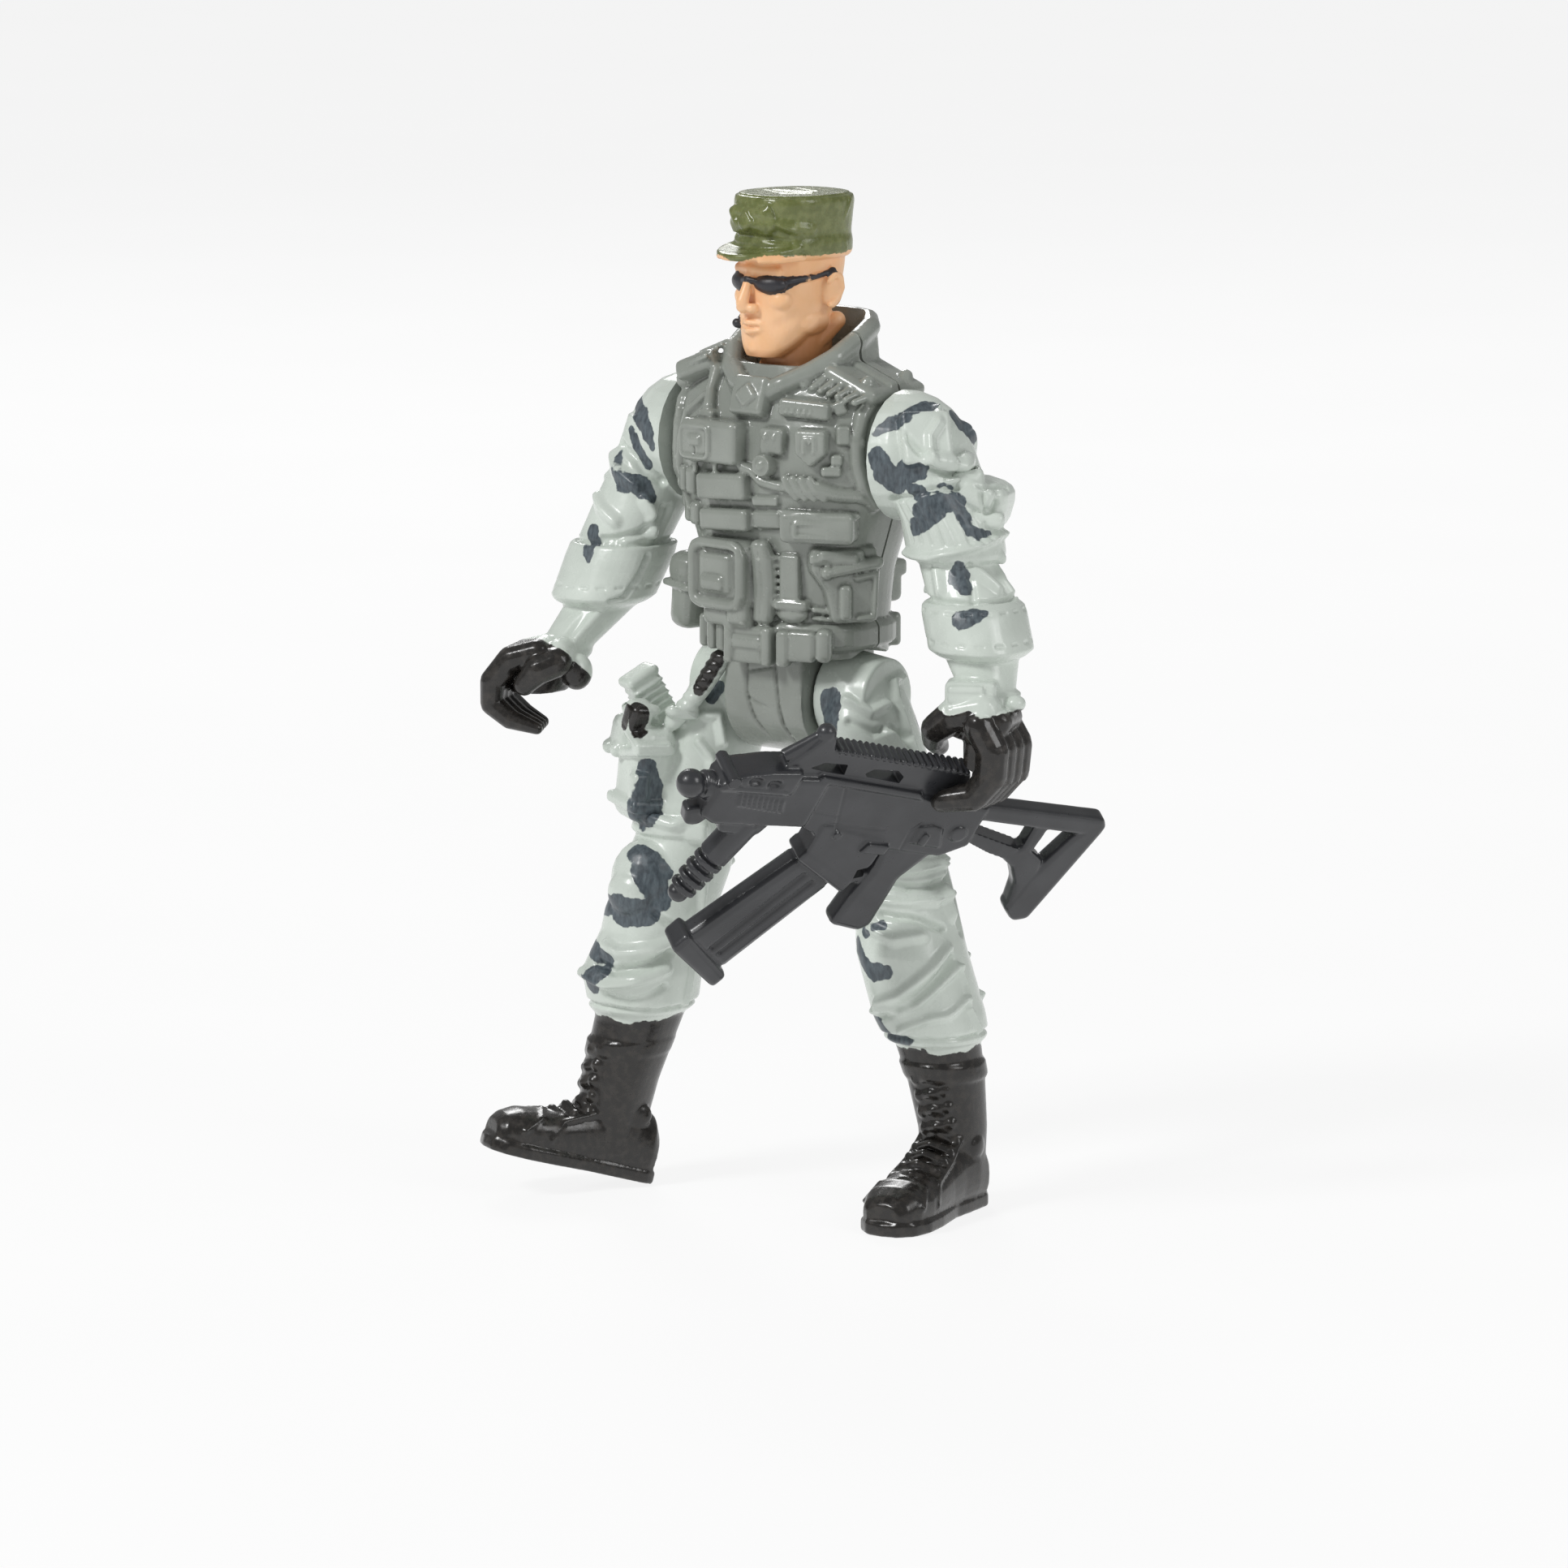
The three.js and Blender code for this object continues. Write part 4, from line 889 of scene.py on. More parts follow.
def head_piece(material):
    bm = bmesh.new()
    head_shapes(bm)
    glasses_shapes(bm)
    cap_shapes(bm)
    piping(bm, [(-4.4, -0.4, 86.9), (-4.0, -2.6, 85.6), (-2.9, -4.7, 84.5)], 0.3)  # microphone boom
    bead(bm, (-2.4, -5.2, 84.3), (0.6, 0.6, 0.5))
    obj = fused("head_skin", bm, HEAD_VOXEL, 2)
    front_band = [(-4.7, -2.6, 93.6), (-3.4, -5.2, 93.9), (0, -6.4, 93.8), (3.4, -5.2, 93.9), (4.9, -2.2, 93.4)]
    folds = [
        ([(-4.2, -3.4, 92.9), (-2.0, -5.9, 92.6), (1.5, -6.2, 92.7), (4.0, -4.2, 92.4)], 0.5, -0.2),
        (front_band, 0.8, 0.3),
        ([(-2.6, -5.8, 95.0), (-1.6, -6.1, 94.2)], 0.5, 0.25),
        ([(2.4, -5.6, 95.6), (3.0, -5.3, 94.2), (4.6, -3.4, 92.9)], 0.5, 0.25),
        ([(4.6, 2.6, 96.0), (5.2, 1.8, 93.6), (4.9, 2.4, 91.4)], 0.5, 0.22),
        ([(3.6, 4.6, 95.4), (4.7, 3.2, 92.0)], 0.4, -0.2),
        ([(-5.2, 1.0, 95.6), (-5.0, 2.2, 93.2)], 0.5, 0.2),
        ([(0.8, 5.6, 95.8), (0.2, 5.6, 92.8)], 0.5, 0.2),
        ([(-3.4, -5.0, 91.7), (0.6, -5.9, 91.4), (4.3, -3.4, 91.8)], 0.45, 0.16),
        ([(-2.8, -1.4, 96.8), (0.6, -2.4, 96.8), (2.6, -0.4, 96.8)], 0.45, 0.16),
        ([(-2.0, 2.0, 96.8), (1.4, 1.2, 96.8)], 0.5, 0.14),
        ([(-1.15, -5.85, 84.2), (0, -6.2, 84.22), (1.15, -5.85, 84.2)], 0.28, -0.22),
        ([(0, -6.1, 85.5), (0, -6.0, 84.95)], 0.35, -0.1),
        ([(-3.6, -3.2, 85.3), (-2.6, -4.6, 84.4)], 0.9, -0.12),
        ([(3.6, -3.2, 85.3), (2.6, -4.6, 84.4)], 0.9, -0.12),
        ([(-1.9, -4.9, 90.3), (1.9, -4.9, 90.3)], 0.5, -0.05),
        ([(4.5, 0.3, 87.2), (4.6, 0.9, 88.3)], 0.45, -0.3),
        ([(-4.5, 0.3, 87.2), (-4.6, 0.9, 88.3)], 0.45, -0.3),
    ]
    sculpt(obj, folds)
    co = points_of(obj)
    x, y, z = co.T
    brim_plane = np.minimum(BRIM_Z + math.tan(math.radians(BRIM_TILT)) * y - 0.1, 91.0)
    brim_plane = brim_plane - 0.25 * np.sin(x * 1.3)
    paint_cap = (brim_plane - z) * 0.97
    # painted shade under the jaw: below this line the skin is marked for the darker neck tint
    jaw = 81.6 + 0.85 * np.clip(y + 4.6, 0, 6) - np.clip(np.abs(x) - 2.5, 0, 2) * 0.2
    painted_neck_shade = z - np.minimum(jaw, 84.6)
    lens = [[((s * 0.5, -6.2, 88.65), 0.28), ((s * 1.3, -5.9, 88.4), 0.7), ((s * 2.2, -5.6, 88.25), 0.98),
             ((s * 3.1, -4.6, 88.35), 0.8), ((s * 3.9, -3.0, 88.75), 0.34), ((s * 4.5, -1.2, 89.0), 0.26),
             ((s * 4.7, 0.4, 89.35), 0.42)] for s in (-1, 1)]
    lens.append([((-0.6, -6.3, 88.68), 0.3), ((0.6, -6.3, 88.68), 0.3)])
    boom = [[((-4.5, -0.4, 86.9), 0.42), ((-4.1, -2.6, 85.6), 0.4), ((-3.0, -4.8, 84.5), 0.4),
             ((-2.5, -5.4, 84.3), 0.7)]]
    painted(obj, "cap", [], paint_cap)
    painted(obj, "neck", [], painted_neck_shade)
    painted(obj, "glasses", lens + boom)
    peg = bmesh.new()
    rod(peg, (0, 0, 73.7), (0, 0, 78.2), 1.8)
    rod(peg, (0, 0, 72.5), (0, 0, 73.7), 2.8)
    add_shell(obj, peg)
    obj.data.transform(place((0, -0.5, 0), (0, 0, HEAD_TURN)))
    finish_piece(obj, material, "head", "head", 60)


# ---------------------------------------------------------------- rifle

RIFLE_AT = Vector((21.07, -7.23, 41.59))
MUZZLE = Vector(JOINT["rifle_slide"]["axis"]).normalized()
RAIL_UP = Vector((0.563, -0.027, 0.826))


def rifle_frame():
    """The rifle's own axes: X to the muzzle, Y up, Z away from the figure's left hand."""
    across = MUZZLE.cross(RAIL_UP).normalized()
    return axes_matrix(RIFLE_AT, MUZZLE, across.cross(MUZZLE), across)


def rifle_piece(material):
    bm = bmesh.new()

    def flat(outline, thick, edge=0.25, z=0.0):
        plate(bm, place((0, 0, z)), outline, thick, edge)

    flat([(12.5, 1.2), (21.8, -0.2), (23.4, -1.6), (23.6, -5.2), (22, -5.9), (12.5, -4.6)], 3.2, 0.4)
    flat([(15.6, 1.7), (18.8, 1.1), (21.8, 0.1), (23.2, -1.0), (23.4, -2.0), (15.8, -1.2)], 3.7, 0.45)
    flat([(-3.4, 0), (-1.6, 4.2), (13.4, 4.2), (13.9, 5.5), (14.9, 5.6), (17.4, 1.6), (17, 0)], 1.8, 0.2)
    flat([(13.5, 1.1), (-5.4, 0.8), (-5.4, -3.8), (-3, -5.6), (9.2, -5.9), (13.5, -4.6)], 2.5, 0.3)
    flat([(13.6, 1.4), (2.6, 1.4), (2.0, 0.6), (13.6, 0.6)], 3.0, 0.25)
    flat([(10.8, -3.9), (3.2, -4.6), (3.4, -7.6), (4.8, -10.8), (10.9, -8.2)], 2.9, 0.3)
    flat([(10.9, -7.2), (4.4, -9.9), (5.0, -11.4), (11.4, -8.4)], 3.1, 0.3)
    flat([(10.9, -8.4), (6.2, -10.7), (12.4, -22.7), (17.7, -19.6)], 2.5, 0.7)
    flat([(11.6, -23.0), (12.4, -24.7), (18.8, -21), (17.9, -18.9)], 3.3, 0.5)
    flat([(3.2, -5.4), (-2.8, -4.8), (-0.5, -9.0), (-0.4, -15.0), (0.6, -15.9), (4.0, -15.6), (3.6, -12.0),
          (2.9, -8.6)], 2.3, 0.6)
    flat([(4.6, -10.2), (2.7, -8.8), (2.7, -9.9), (4.8, -11.4)], 1.4, 0.2)
    flat([(-4.0, 0.9), (-18.2, 1.6), (-18.9, 0.6), (-18.2, -0.6), (-4.0, -1.0)], 2.0, 0.4)
    flat([(-4.0, -1.6), (-5.4, -3.6), (-8.0, -4.4), (-10.8, -4.9), (-11.0, -3.4), (-4.4, -2.2)], 1.9, 0.35)
    flat([(-17.6, 1.2), (-18.9, 0.6), (-16.4, -11.4), (-14.9, -12), (-13.2, -10.6), (-13.8, -6.6), (-15.9, -1.0)],
         2.0, 0.5)
    flat([(-9.4, -4.6), (-11.4, -5.7), (-12.8, -7.6), (-13.4, -10.4), (-15.2, -8.6), (-14.4, -4.4), (-11.6, -2.9)],
         1.9, 0.4)
    flat([(-11.4, 0.2), (-13.0, 0.2), (-12.6, -4.6), (-11.4, -4.4)], 1.8, 0.3)
    rod(bm, (20.6, -2.3, 0), (25.2, -2.7, 0), 1.0)
    rod(bm, (23.4, -2.5, 0), (24.2, -2.55, 0), 1.35)
    bead(bm, (25.3, -2.75, 0), (1.4, 1.4, 1.4))
    bead(bm, (14.7, 5.4, 0), (0.95, 0.95, 0.95))
    rod(bm, (15.0, 5.2, 0), (17.6, 2.0, 0), 0.5, 0.7, 12)
    # front end: gas plug, lower lug and hinge
    rod(bm, (22.4, -0.5, -2.1), (22.4, -0.5, 2.1), 0.62)
    flat([(22.6, -4.2), (24.8, -5.2), (24.2, -7.0), (22.9, -6.8), (22.0, -5.6)], 1.8, 0.4)
    # foregrip with its rings
    way = (Vector((20.4, -15.2, 0)) - Vector((17.9, -6.4, 0))).normalized()
    start = Vector((17.9, -6.4, 0))
    flat([(15.6, -4.4), (21.6, -4.8), (20.6, -7.0), (16.6, -6.6)], 2.6, 0.4)
    rod(bm, start - way, start + way * 4.2, 1.55, 1.5, 20)
    for k, r in enumerate((1.5, 1.5, 1.45, 1.35)):
        at = start + way * (4.9 + 1.15 * k)
        rod(bm, at - way * 0.3, at + way * 0.3, r, r, 20)
    rod(bm, start + way * 3.6, start + way * 9.0, 0.9, 0.9, 16)
    bead(bm, start + way * 9.2, (1.0, 0.9, 1.0))
    for k in range(21):  # rail teeth
        x = -1.1 + 0.7 * k
        piping(bm, [(x, 4.3, -0.95), (x, 4.3, 0.95)], 0.27)
    for side in (-1, 1):  # selector, pins, bolt and the web between receiver and stock
        rod(bm, (-3.5, -2.5, 0), (-3.5, -2.5, side * 1.55), 0.85)
        plate(bm, place((0, 0, side * 1.3)), [(0.9, -4.4), (0.8, -2.4), (-0.4, -2.0), (-1.6, -2.2), (-2.4, -4.4)],
              0.5, 0.12)
        plate(bm, place((0, 0, side * 1.6)), [(0.5, -4.1), (0.2, -2.7), (-0.5, -3.1), (-0.4, -4.3)], 0.6, 0.12)
        rod(bm, (8.9, -4.8, 0), (8.9, -4.8, side * 1.7), 0.4)
        plate(bm, place((0, 0, side * 1.55)), [(5.8, -6.2), (5.3, -5.0), (3.0, -4.9), (3.2, -6.0)], 0.7, 0.15)
        for k in range(9):  # ribs below the recesses
            x = 16.0 + 0.56 * k
            piping(bm, [(x, -3.1, side * 1.62), (x + 0.35, -2.0, side * 1.62)], 0.2)
    obj = fused("rifle_skin", bm, RIFLE_VOXEL, 1)
    grooves = []
    for z in (-1.35, 1.35):
        grooves += [
            ([(10.6, 0.6, z), (9.2, -4.2, z)], 0.22, -0.14),
            ([(15.2, -2.7, z), (9.7, -2.8, z)], 0.22, -0.1),
            ([(9.6, -10.2, z), (14.6, -20.2, z)], 0.5, -0.45),
            ([(8.4, -10.9, z), (13.5, -20.6, z)], 0.45, -0.45),
            ([(1.4, -5.6, z), (1.5, -3.2, z), (0.7, -1.9, z)], 0.22, -0.12),
            ([(4.2, -3.5, z), (10.6, -3.9, z)], 0.22, -0.12),
        ]
    for z in (-1.85, 1.85):
        grooves += [([(x, -0.2, z), (x - 0.5, -0.1, z)], 0.7, -0.55) for x in (20.4, 18.4)]
        grooves += [([(22.0, -1.0, z), (16.6, -0.6, z)], 0.2, -0.1)]
    sculpt(obj, grooves)
    middle = Matrix.Identity(4)
    cut(obj, plate, middle, [(11.2, 1.7), (13.4, 1.7), (15.0, 1.8), (13.8, 2.7), (11.4, 2.9)], 4, 0.1)
    cut(obj, plate, middle, [(5.2, 1.8), (8.9, 1.9), (9.2, 2.2), (8.5, 2.9), (6.0, 3.2), (5.1, 2.6)], 4, 0.1)
    cut(obj, plate, middle, [(4.7, -8.4), (3.3, -7.7), (3.2, -9.6), (4.6, -10.3)], 5, 0.1)
    obj.data.transform(rifle_frame())
    finish_piece(obj, material, "rifle", "rifle", 45)


# ---------------------------------------------------------------- arms

LEFT_SLEEVE = [
    [74.5, 15.4, -0.3, 3.0, 4.6], [70.0, 16.4, -0.3, 3.9, 5.0], [66.8, 17.9, -0.2, 4.5, 4.7],
    [63.6, 18.6, -0.3, 4.4, 4.6], [63.0, 18.8, -0.4, 3.5, 3.6], [59.8, 21.0, -1.2, 3.9, 4.0],
    [59.4, 21.2, -1.3, 4.6, 4.6], [58.6, 21.5, -1.5, 4.75, 4.75], [55.4, 22.8, -2.2, 4.75, 4.75],
    [54.8, 22.9, -2.25, 4.0, 4.0], [54.5, 23.0, -2.3, 3.3, 3.3], [51.8, 24.4, -3.4, 2.5, 2.6],
    [51.5, 24.5, -3.4, 2.9, 3.0], [49.6, 24.8, -4.2, 2.9, 3.0], [49.3, 24.8, -4.2, 2.6, 2.8],
    [47.6, 25.2, -4.8, 2.6, 3.0],
]
RIGHT_SLEEVE = [
    [74.5, -15.4, -0.4, 3.0, 4.6], [70.0, -16.0, -1.0, 3.8, 4.9], [65.5, -17.0, -3.0, 4.2, 4.7],
    [62.6, -17.9, -4.1, 4.2, 4.4], [62.2, -17.9, -4.2, 4.9, 5.0], [61.0, -18.1, -4.6, 5.0, 5.1],
    [57.2, -18.8, -6.3, 4.8, 4.9], [56.7, -18.9, -6.5, 4.2, 4.2], [56.3, -18.9, -6.6, 3.3, 3.3],
    [52.6, -20.0, -10.6, 2.4, 2.6], [52.0, -20.2, -11.1, 2.8, 3.0], [50.8, -20.6, -12.0, 2.6, 2.8],
    [48.6, -21.2, -13.2, 2.4, 3.0],
]
HAND_ACROSS, HAND_OUT = Vector((0.94, 0.342, 0)), Vector((0.342, -0.94, 0))


def dome(bm, side):
    bead(bm, (side * (SHOULDER_X + 0.4), -0.2, SHOULDER_Z), (6.6, 5.9, 6.2))


def peg_shell(x, z, side, inner):
    """A limb's peg and the flange on its end, which the torso halves hold."""
    bm = bmesh.new()
    rod(bm, (side * x, 0, z), (side * inner, 0, z), PEG_RADIUS)
    rod(bm, (side * inner, 0, z), (side * (inner - FLANGE_THICK), 0, z), FLANGE_RADIUS)
    return bm


def finger(bm, frame_matrix, points, radii):
    piping(bm, [frame_matrix @ Vector(p) for p in points], radii)


def left_hand(bm):
    """A gloved fist round a rifle: four fingers curled over its near side, the thumb behind."""
    hand = axes_matrix((24.6, -5.2, 45.9), HAND_ACROSS, Vector((0, 0, 1)), HAND_OUT)
    block(bm, hand @ place((1.3, 2.9, -0.2), (0, 0, -30)), (4.0, 4.6, 6.0), 1.2)
    block(bm, hand @ place((-0.2, 4.3, -0.4)), (4.4, 2.8, 5.6), 0.9)
    block(bm, hand @ place((0.4, 0.4, -0.4)), (2.8, 4.6, 5.4), 0.9)  # palm
    for k in range(4):
        out, step = 2.6 - 1.6 * k, 0.3 * k
        finger(bm, hand, [(0.9 + step, 3.2, out), (2.2 + step, 0.9, out), (2.0 + step, -1.6, out),
                          (0.4 + step, -3.5, out), (-2.7 + step * 0.6, -4.0, out)],
               [1.55, 1.55, 1.5, 1.4, 1.15])
    finger(bm, hand, [(1.0, 4.5, 1.6), (-1.8, 3.9, 1.7), (-3.7, 2.5, 1.2), (-4.2, 1.3, 0.0), (-4.1, 0.5, -1.2)],
           [1.8, 1.7, 1.45, 1.2, 1.0])


def right_hand(bm):
    """A gloved hand hooked open, as if round a rail: long fingers, the thumb laid across."""
    hand = axes_matrix((-21.0, -13.4, 46.2), HAND_ACROSS, Vector((0, 0, 1)), HAND_OUT)
    block(bm, hand @ place((1.2, 5.6, -0.2), (0, 0, 28)), (5.2, 2.6, 5.4), 1.0)
    for k in range(4):
        out = 2.1 - 1.35 * k
        finger(bm, hand, [(0.6, 6.4, out), (-2.2, 5.6, out), (-4.0, 3.4, out), (-4.1, 1.2, out),
                          (-2.3, -0.2, out), (0.4 - 0.25 * k, -1.0, out)], [1.3, 1.3, 1.25, 1.15, 1.0, 0.6])
    finger(bm, hand, [(2.6, 5.6, 2.4), (1.0, 4.9, 3.0), (-0.5, 3.3, 3.1)], [1.5, 1.5, 1.05])
    bead(bm, hand @ Vector((3.8, 4.4, 0.2)), (1.5, 1.6, 1.8))


LEFT_ARM_FOLDS = [  # half width, height, angle and height along the fold
    (0.9, 0.55, [(-57, 73.0), (-45, 72.8), (-17, 72.2), (10, 72.6)]),
    (0.5, -0.35, [(-78, 75.2), (-67, 74.0), (-57, 72.4), (-30, 71.5), (10, 71.6)]),
    (0.6, 0.35, [(-14, 77.2), (-42, 76.3), (-54, 75.1), (-55, 73.4)]),
    (0.8, 0.6, [(-33, 70.8), (-4, 71.0), (13, 71.2)]),
    (0.4, -0.3, [(-120, 69.0), (-88, 69.4), (-60, 70.3), (-30, 70.2), (-10, 70.4), (20, 70.0)]),
    (0.4, -0.3, [(-14, 69.7), (-14, 68.9), (-9, 68.1), (-3, 68.2), (0, 68.9)]),
    (0.5, 0.35, [(-130, 64.0), (-107, 63.9), (-87, 63.9), (-49, 64.6), (-12, 65.2), (18, 65.6), (60, 65.4)]),
    (0.8, 0.35, [(-52, 62.9), (-30, 62.6), (-6, 61.0)]),
    (0.5, -0.25, [(-40, 63.2), (-44, 61.4), (-50, 60.2)]),
    (0.7, 0.3, [(-90, 62.6), (-96, 60.8)]),
    (0.7, 0.35, [(20, 63.4), (14, 61.4), (24, 60.0)]),
    (0.5, -0.25, [(80, 72.0), (100, 68.0), (92, 65.0)]),
    (0.9, 0.4, [(60, 75.0), (84, 72.0), (110, 69.4)]),
    (0.8, 0.35, [(150, 71.0), (170, 68.6), (200, 67.2)]),
    (0.7, 0.35, [(120, 62.6), (160, 61.2), (200, 60.4)]),
    (0.35, -0.25, [(-150, 59.9), (-90, 59.9), (-30, 60.0), (30, 60.0), (100, 60.0), (180, 60.0), (210, 59.9)]),
]
LEFT_CAMO = [  # angle, height and radius along each brush mark
    [(-116, 75.1, 0.2), (-107, 76.0, 0.6), (-91, 76.8, 0.8), (-63, 77.3, 0.75), (-33, 77.4, 0.5),
     (-11, 77.4, 0.12)],
    [(-112, 73.0, 0.75), (-109, 71.5, 1.0), (-101, 70.7, 0.9)],
    [(-100, 71.0, 0.75), (-84, 71.8, 0.95), (-71, 72.1, 0.75), (-61, 72.2, 0.2)],
    [(-87, 70.4, 0.3), (-78, 69.9, 0.65)],
    [(-85, 68.2, 0.6), (-69, 68.7, 0.78), (-52, 69.0, 0.78), (-37, 69.1, 0.6)],
    [(-100, 66.6, 0.6), (-79, 67.4, 0.65), (-60, 68.1, 0.4)],
    [(-36, 69.0, 0.6), (-37, 67.8, 0.45), (-34, 66.6, 0.4), (-24, 66.1, 0.45), (-5, 66.0, 0.12)],
    [(-71, 69.9, 0.14), (-57, 70.1, 0.14), (-46, 70.5, 0.14), (-36, 70.2, 0.14), (-30, 69.0, 0.14),
     (-28, 67.2, 0.14)],
    [(-53, 63.2, 0.4), (-58, 62.2, 0.8), (-54, 61.2, 0.6)],
    [(-69, 58.5, 0.72), (-54, 59.0, 0.6), (-41, 59.2, 0.26)],
    [(40, 76.0, 0.9), (62, 74.8, 1.1), (84, 75.2, 0.6)],
    [(96, 70.6, 0.8), (118, 69.6, 1.1), (140, 70.4, 0.7)],
    [(64, 62.4, 0.5), (80, 61.4, 0.8), (92, 62.2, 0.4)],
    [(150, 57.6, 0.7), (128, 58.0, 0.5)],
]
RIGHT_ARM_FOLDS = [
    (0.6, -0.35, [(-110, 71.6), (-85, 70.6), (-69, 69.5), (-41, 68.4)]),
    (0.9, 0.4, [(-130, 70.4), (-100, 69.2), (-70, 68.0)]),
    (0.8, 0.4, [(-120, 66.6), (-101, 65.6), (-76, 64.6)]),
    (0.5, -0.35, [(-84, 62.9), (-66, 63.0), (-38, 63.6), (-27, 64.5), (-22, 65.9)]),
    (0.8, 0.4, [(-50, 66.6), (-34, 65.4), (-20, 63.4)]),
    (0.5, -0.3, [(-14, 68.0), (-10, 65.6), (-8, 63.2)]),
    (0.35, -0.3, [(-22, 61.4), (-23, 59.6), (-30, 57.6), (-44, 57.2)]),
    (0.35, -0.3, [(-200, 62.5), (-140, 62.5), (-74, 62.5), (-26, 62.5), (40, 62.5), (100, 62.5), (160, 62.5)]),
    (0.6, -0.2, [(-72, 56.6), (-68, 54.0)]),
    (0.6, 0.25, [(-50, 56.4), (-52, 53.6)]),
    (0.9, 0.4, [(150, 72.0), (175, 69.6), (200, 68.0)]),
    (0.8, 0.35, [(90, 70.6), (110, 67.6), (100, 65.0)]),
    (0.5, -0.3, [(60, 68.0), (80, 65.0), (140, 64.0)]),
]
RIGHT_CAMO = [
    [(-126, 75.8, 0.3), (-86, 74.6, 0.8), (-70, 73.1, 0.58), (-62, 71.7, 0.2)],
    [(-98, 73.2, 0.25), (-83, 71.7, 0.37), (-67, 70.1, 0.46)],
    [(-109, 70.9, 0.2), (-102, 69.3, 0.46), (-86, 68.2, 0.72), (-64, 68.1, 0.78), (-47, 66.8, 0.5)],
    [(-103, 63.5, 0.55), (-94, 62.6, 0.5), (-92, 61.6, 0.46), (-87, 60.9, 0.2)],
    [(150, 76.0, 0.9), (175, 74.6, 1.1), (196, 75.4, 0.6)],
    [(120, 70.0, 0.8), (146, 68.8, 1.0), (170, 69.8, 0.6)],
    [(70, 60.2, 0.6), (95, 59.0, 0.8)],
    [(-170, 65.0, 0.5), (-150, 66.2, 0.7)],
]


def stitches(limb, z, angles, size=0.3, depth=-0.16):
    """A row of sunk stitches round a rolled cuff."""
    return [([limb.at(a - 3.5, z), limb.at(a + 3.5, z)], size, depth) for a in angles]


def arm_left(material):
    bm = bmesh.new()
    column(bm, LEFT_SLEEVE, 2.3, 44, 0.3, 0)
    dome(bm, 1)
    block(bm, place((20.6, 1.6, 68.5), (0, 16, 20)), (4.6, 5.6, 4.6), 1.5)  # elbow pad
    block(bm, place((20.9, -0.4, 69.6), (0, 26, 30)), (3.6, 4.0, 2.6), 0.9)
    block(bm, place((21.3, 0.6, 67.2), (0, 4, 34)), (3.6, 4.4, 1.6), 0.6)
    block(bm, place((17.3, -3.5, 74.7), (-25, 0, 50)), (4.8, 1.9, 5.2), 0.55)  # pocket flap
    block(bm, place((18.6, -2.4, 72.2), (-6, 0, 56)), (5.4, 2.0, 2.0), 0.7)
    block(bm, place((24.4, -5.9, 51.9), (0, 0, 30)), (4.8, 3.4, 2.3), 0.5)
    block(bm, place((24.9, -7.5, 51.9), (0, 0, 30)), (3.4, 1.1, 1.7), 0.3)
    bead(bm, (28.0, -4.0, 50.9), (1.0, 1.0, 0.8))
    left_hand(bm)
    obj = fused("arm_left_skin", bm, ARM_VOXEL, 2)
    limb = Limb(LEFT_SLEEVE, obj)
    strokes = limb.strokes(LEFT_ARM_FOLDS)
    strokes += [(limb.line([(a, 68.0 - 0.02 * (a + 60)), (a + 8, 65.2)]), 0.32, -0.2) for a in range(-118, 60, 15)]
    strokes += stitches(limb, 59.0, range(-150, 200, 22)) + stitches(limb, 56.2, range(-142, 200, 22))
    strokes.append(([(23.8, -8.5, 51.9), (26.2, -7.3, 51.9)], 0.45, -0.18))
    hand = axes_matrix((24.6, -5.2, 45.9), HAND_ACROSS, Vector((0, 0, 1)), HAND_OUT)
    for k in range(7):  # creased leather
        x = -2.6 + 0.8 * k
        strokes.append(([hand @ Vector((x, 4.9 - 0.1 * k, 3.0)), hand @ Vector((x + 1.4, 3.4 - 0.4 * k, 3.2))],
                        0.25, -0.1))
    sculpt(obj, strokes)
    # the way through the fist that the receiver, the rail and the stock slide along
    cut(obj, block, rifle_frame() @ place((0, 5.0 - 15, 0)), (90, 30, 3.4), 0.05)
    cut(obj, block, place((SHOULDER_X + GAP - 10, 0, 72.5)), (20, 30, 20), 0.02)
    co = points_of(obj)
    glove = co[:, 2] - 50.3 + 0.25 * np.sin(co[:, 0] * 1.9)
    painted(obj, "camo", limb.marks(LEFT_CAMO))
    painted(obj, "black", [], glove)
    add_shell(obj, peg_shell(SHOULDER_X + 1, SHOULDER_Z, 1, SHOULDER_X - SHOULDER_PEG_REACH))
    finish_piece(obj, material, "arm_left", "arm_left", 60)


def arm_right(material):
    bm = bmesh.new()
    column(bm, RIGHT_SLEEVE, 2.3, 44, 0.3, 0)
    dome(bm, -1)
    right_hand(bm)
    obj = fused("arm_right_skin", bm, ARM_VOXEL, 2)
    limb = Limb(RIGHT_SLEEVE, obj)
    strokes = limb.strokes(RIGHT_ARM_FOLDS)
    strokes += stitches(limb, 58.4, range(-180, 180, 20))
    sculpt(obj, strokes)
    cut(obj, block, place((-(SHOULDER_X + GAP - 10), 0, 72.5)), (20, 30, 20), 0.02)
    co = points_of(obj)
    normal = Vector((0.25, 0.62, 0.74)).normalized()
    wrist = Vector((-20.4, -11.6, 51.4))
    glove = (co - np.array(wrist)) @ np.array(normal)
    painted(obj, "camo", limb.marks(RIGHT_CAMO))
    painted(obj, "black", [], glove)
    add_shell(obj, peg_shell(SHOULDER_X + 1, SHOULDER_Z, -1, SHOULDER_X - SHOULDER_PEG_REACH))
    finish_piece(obj, material, "arm_right", "arm_right", 60)


# ---------------------------------------------------------------- legs

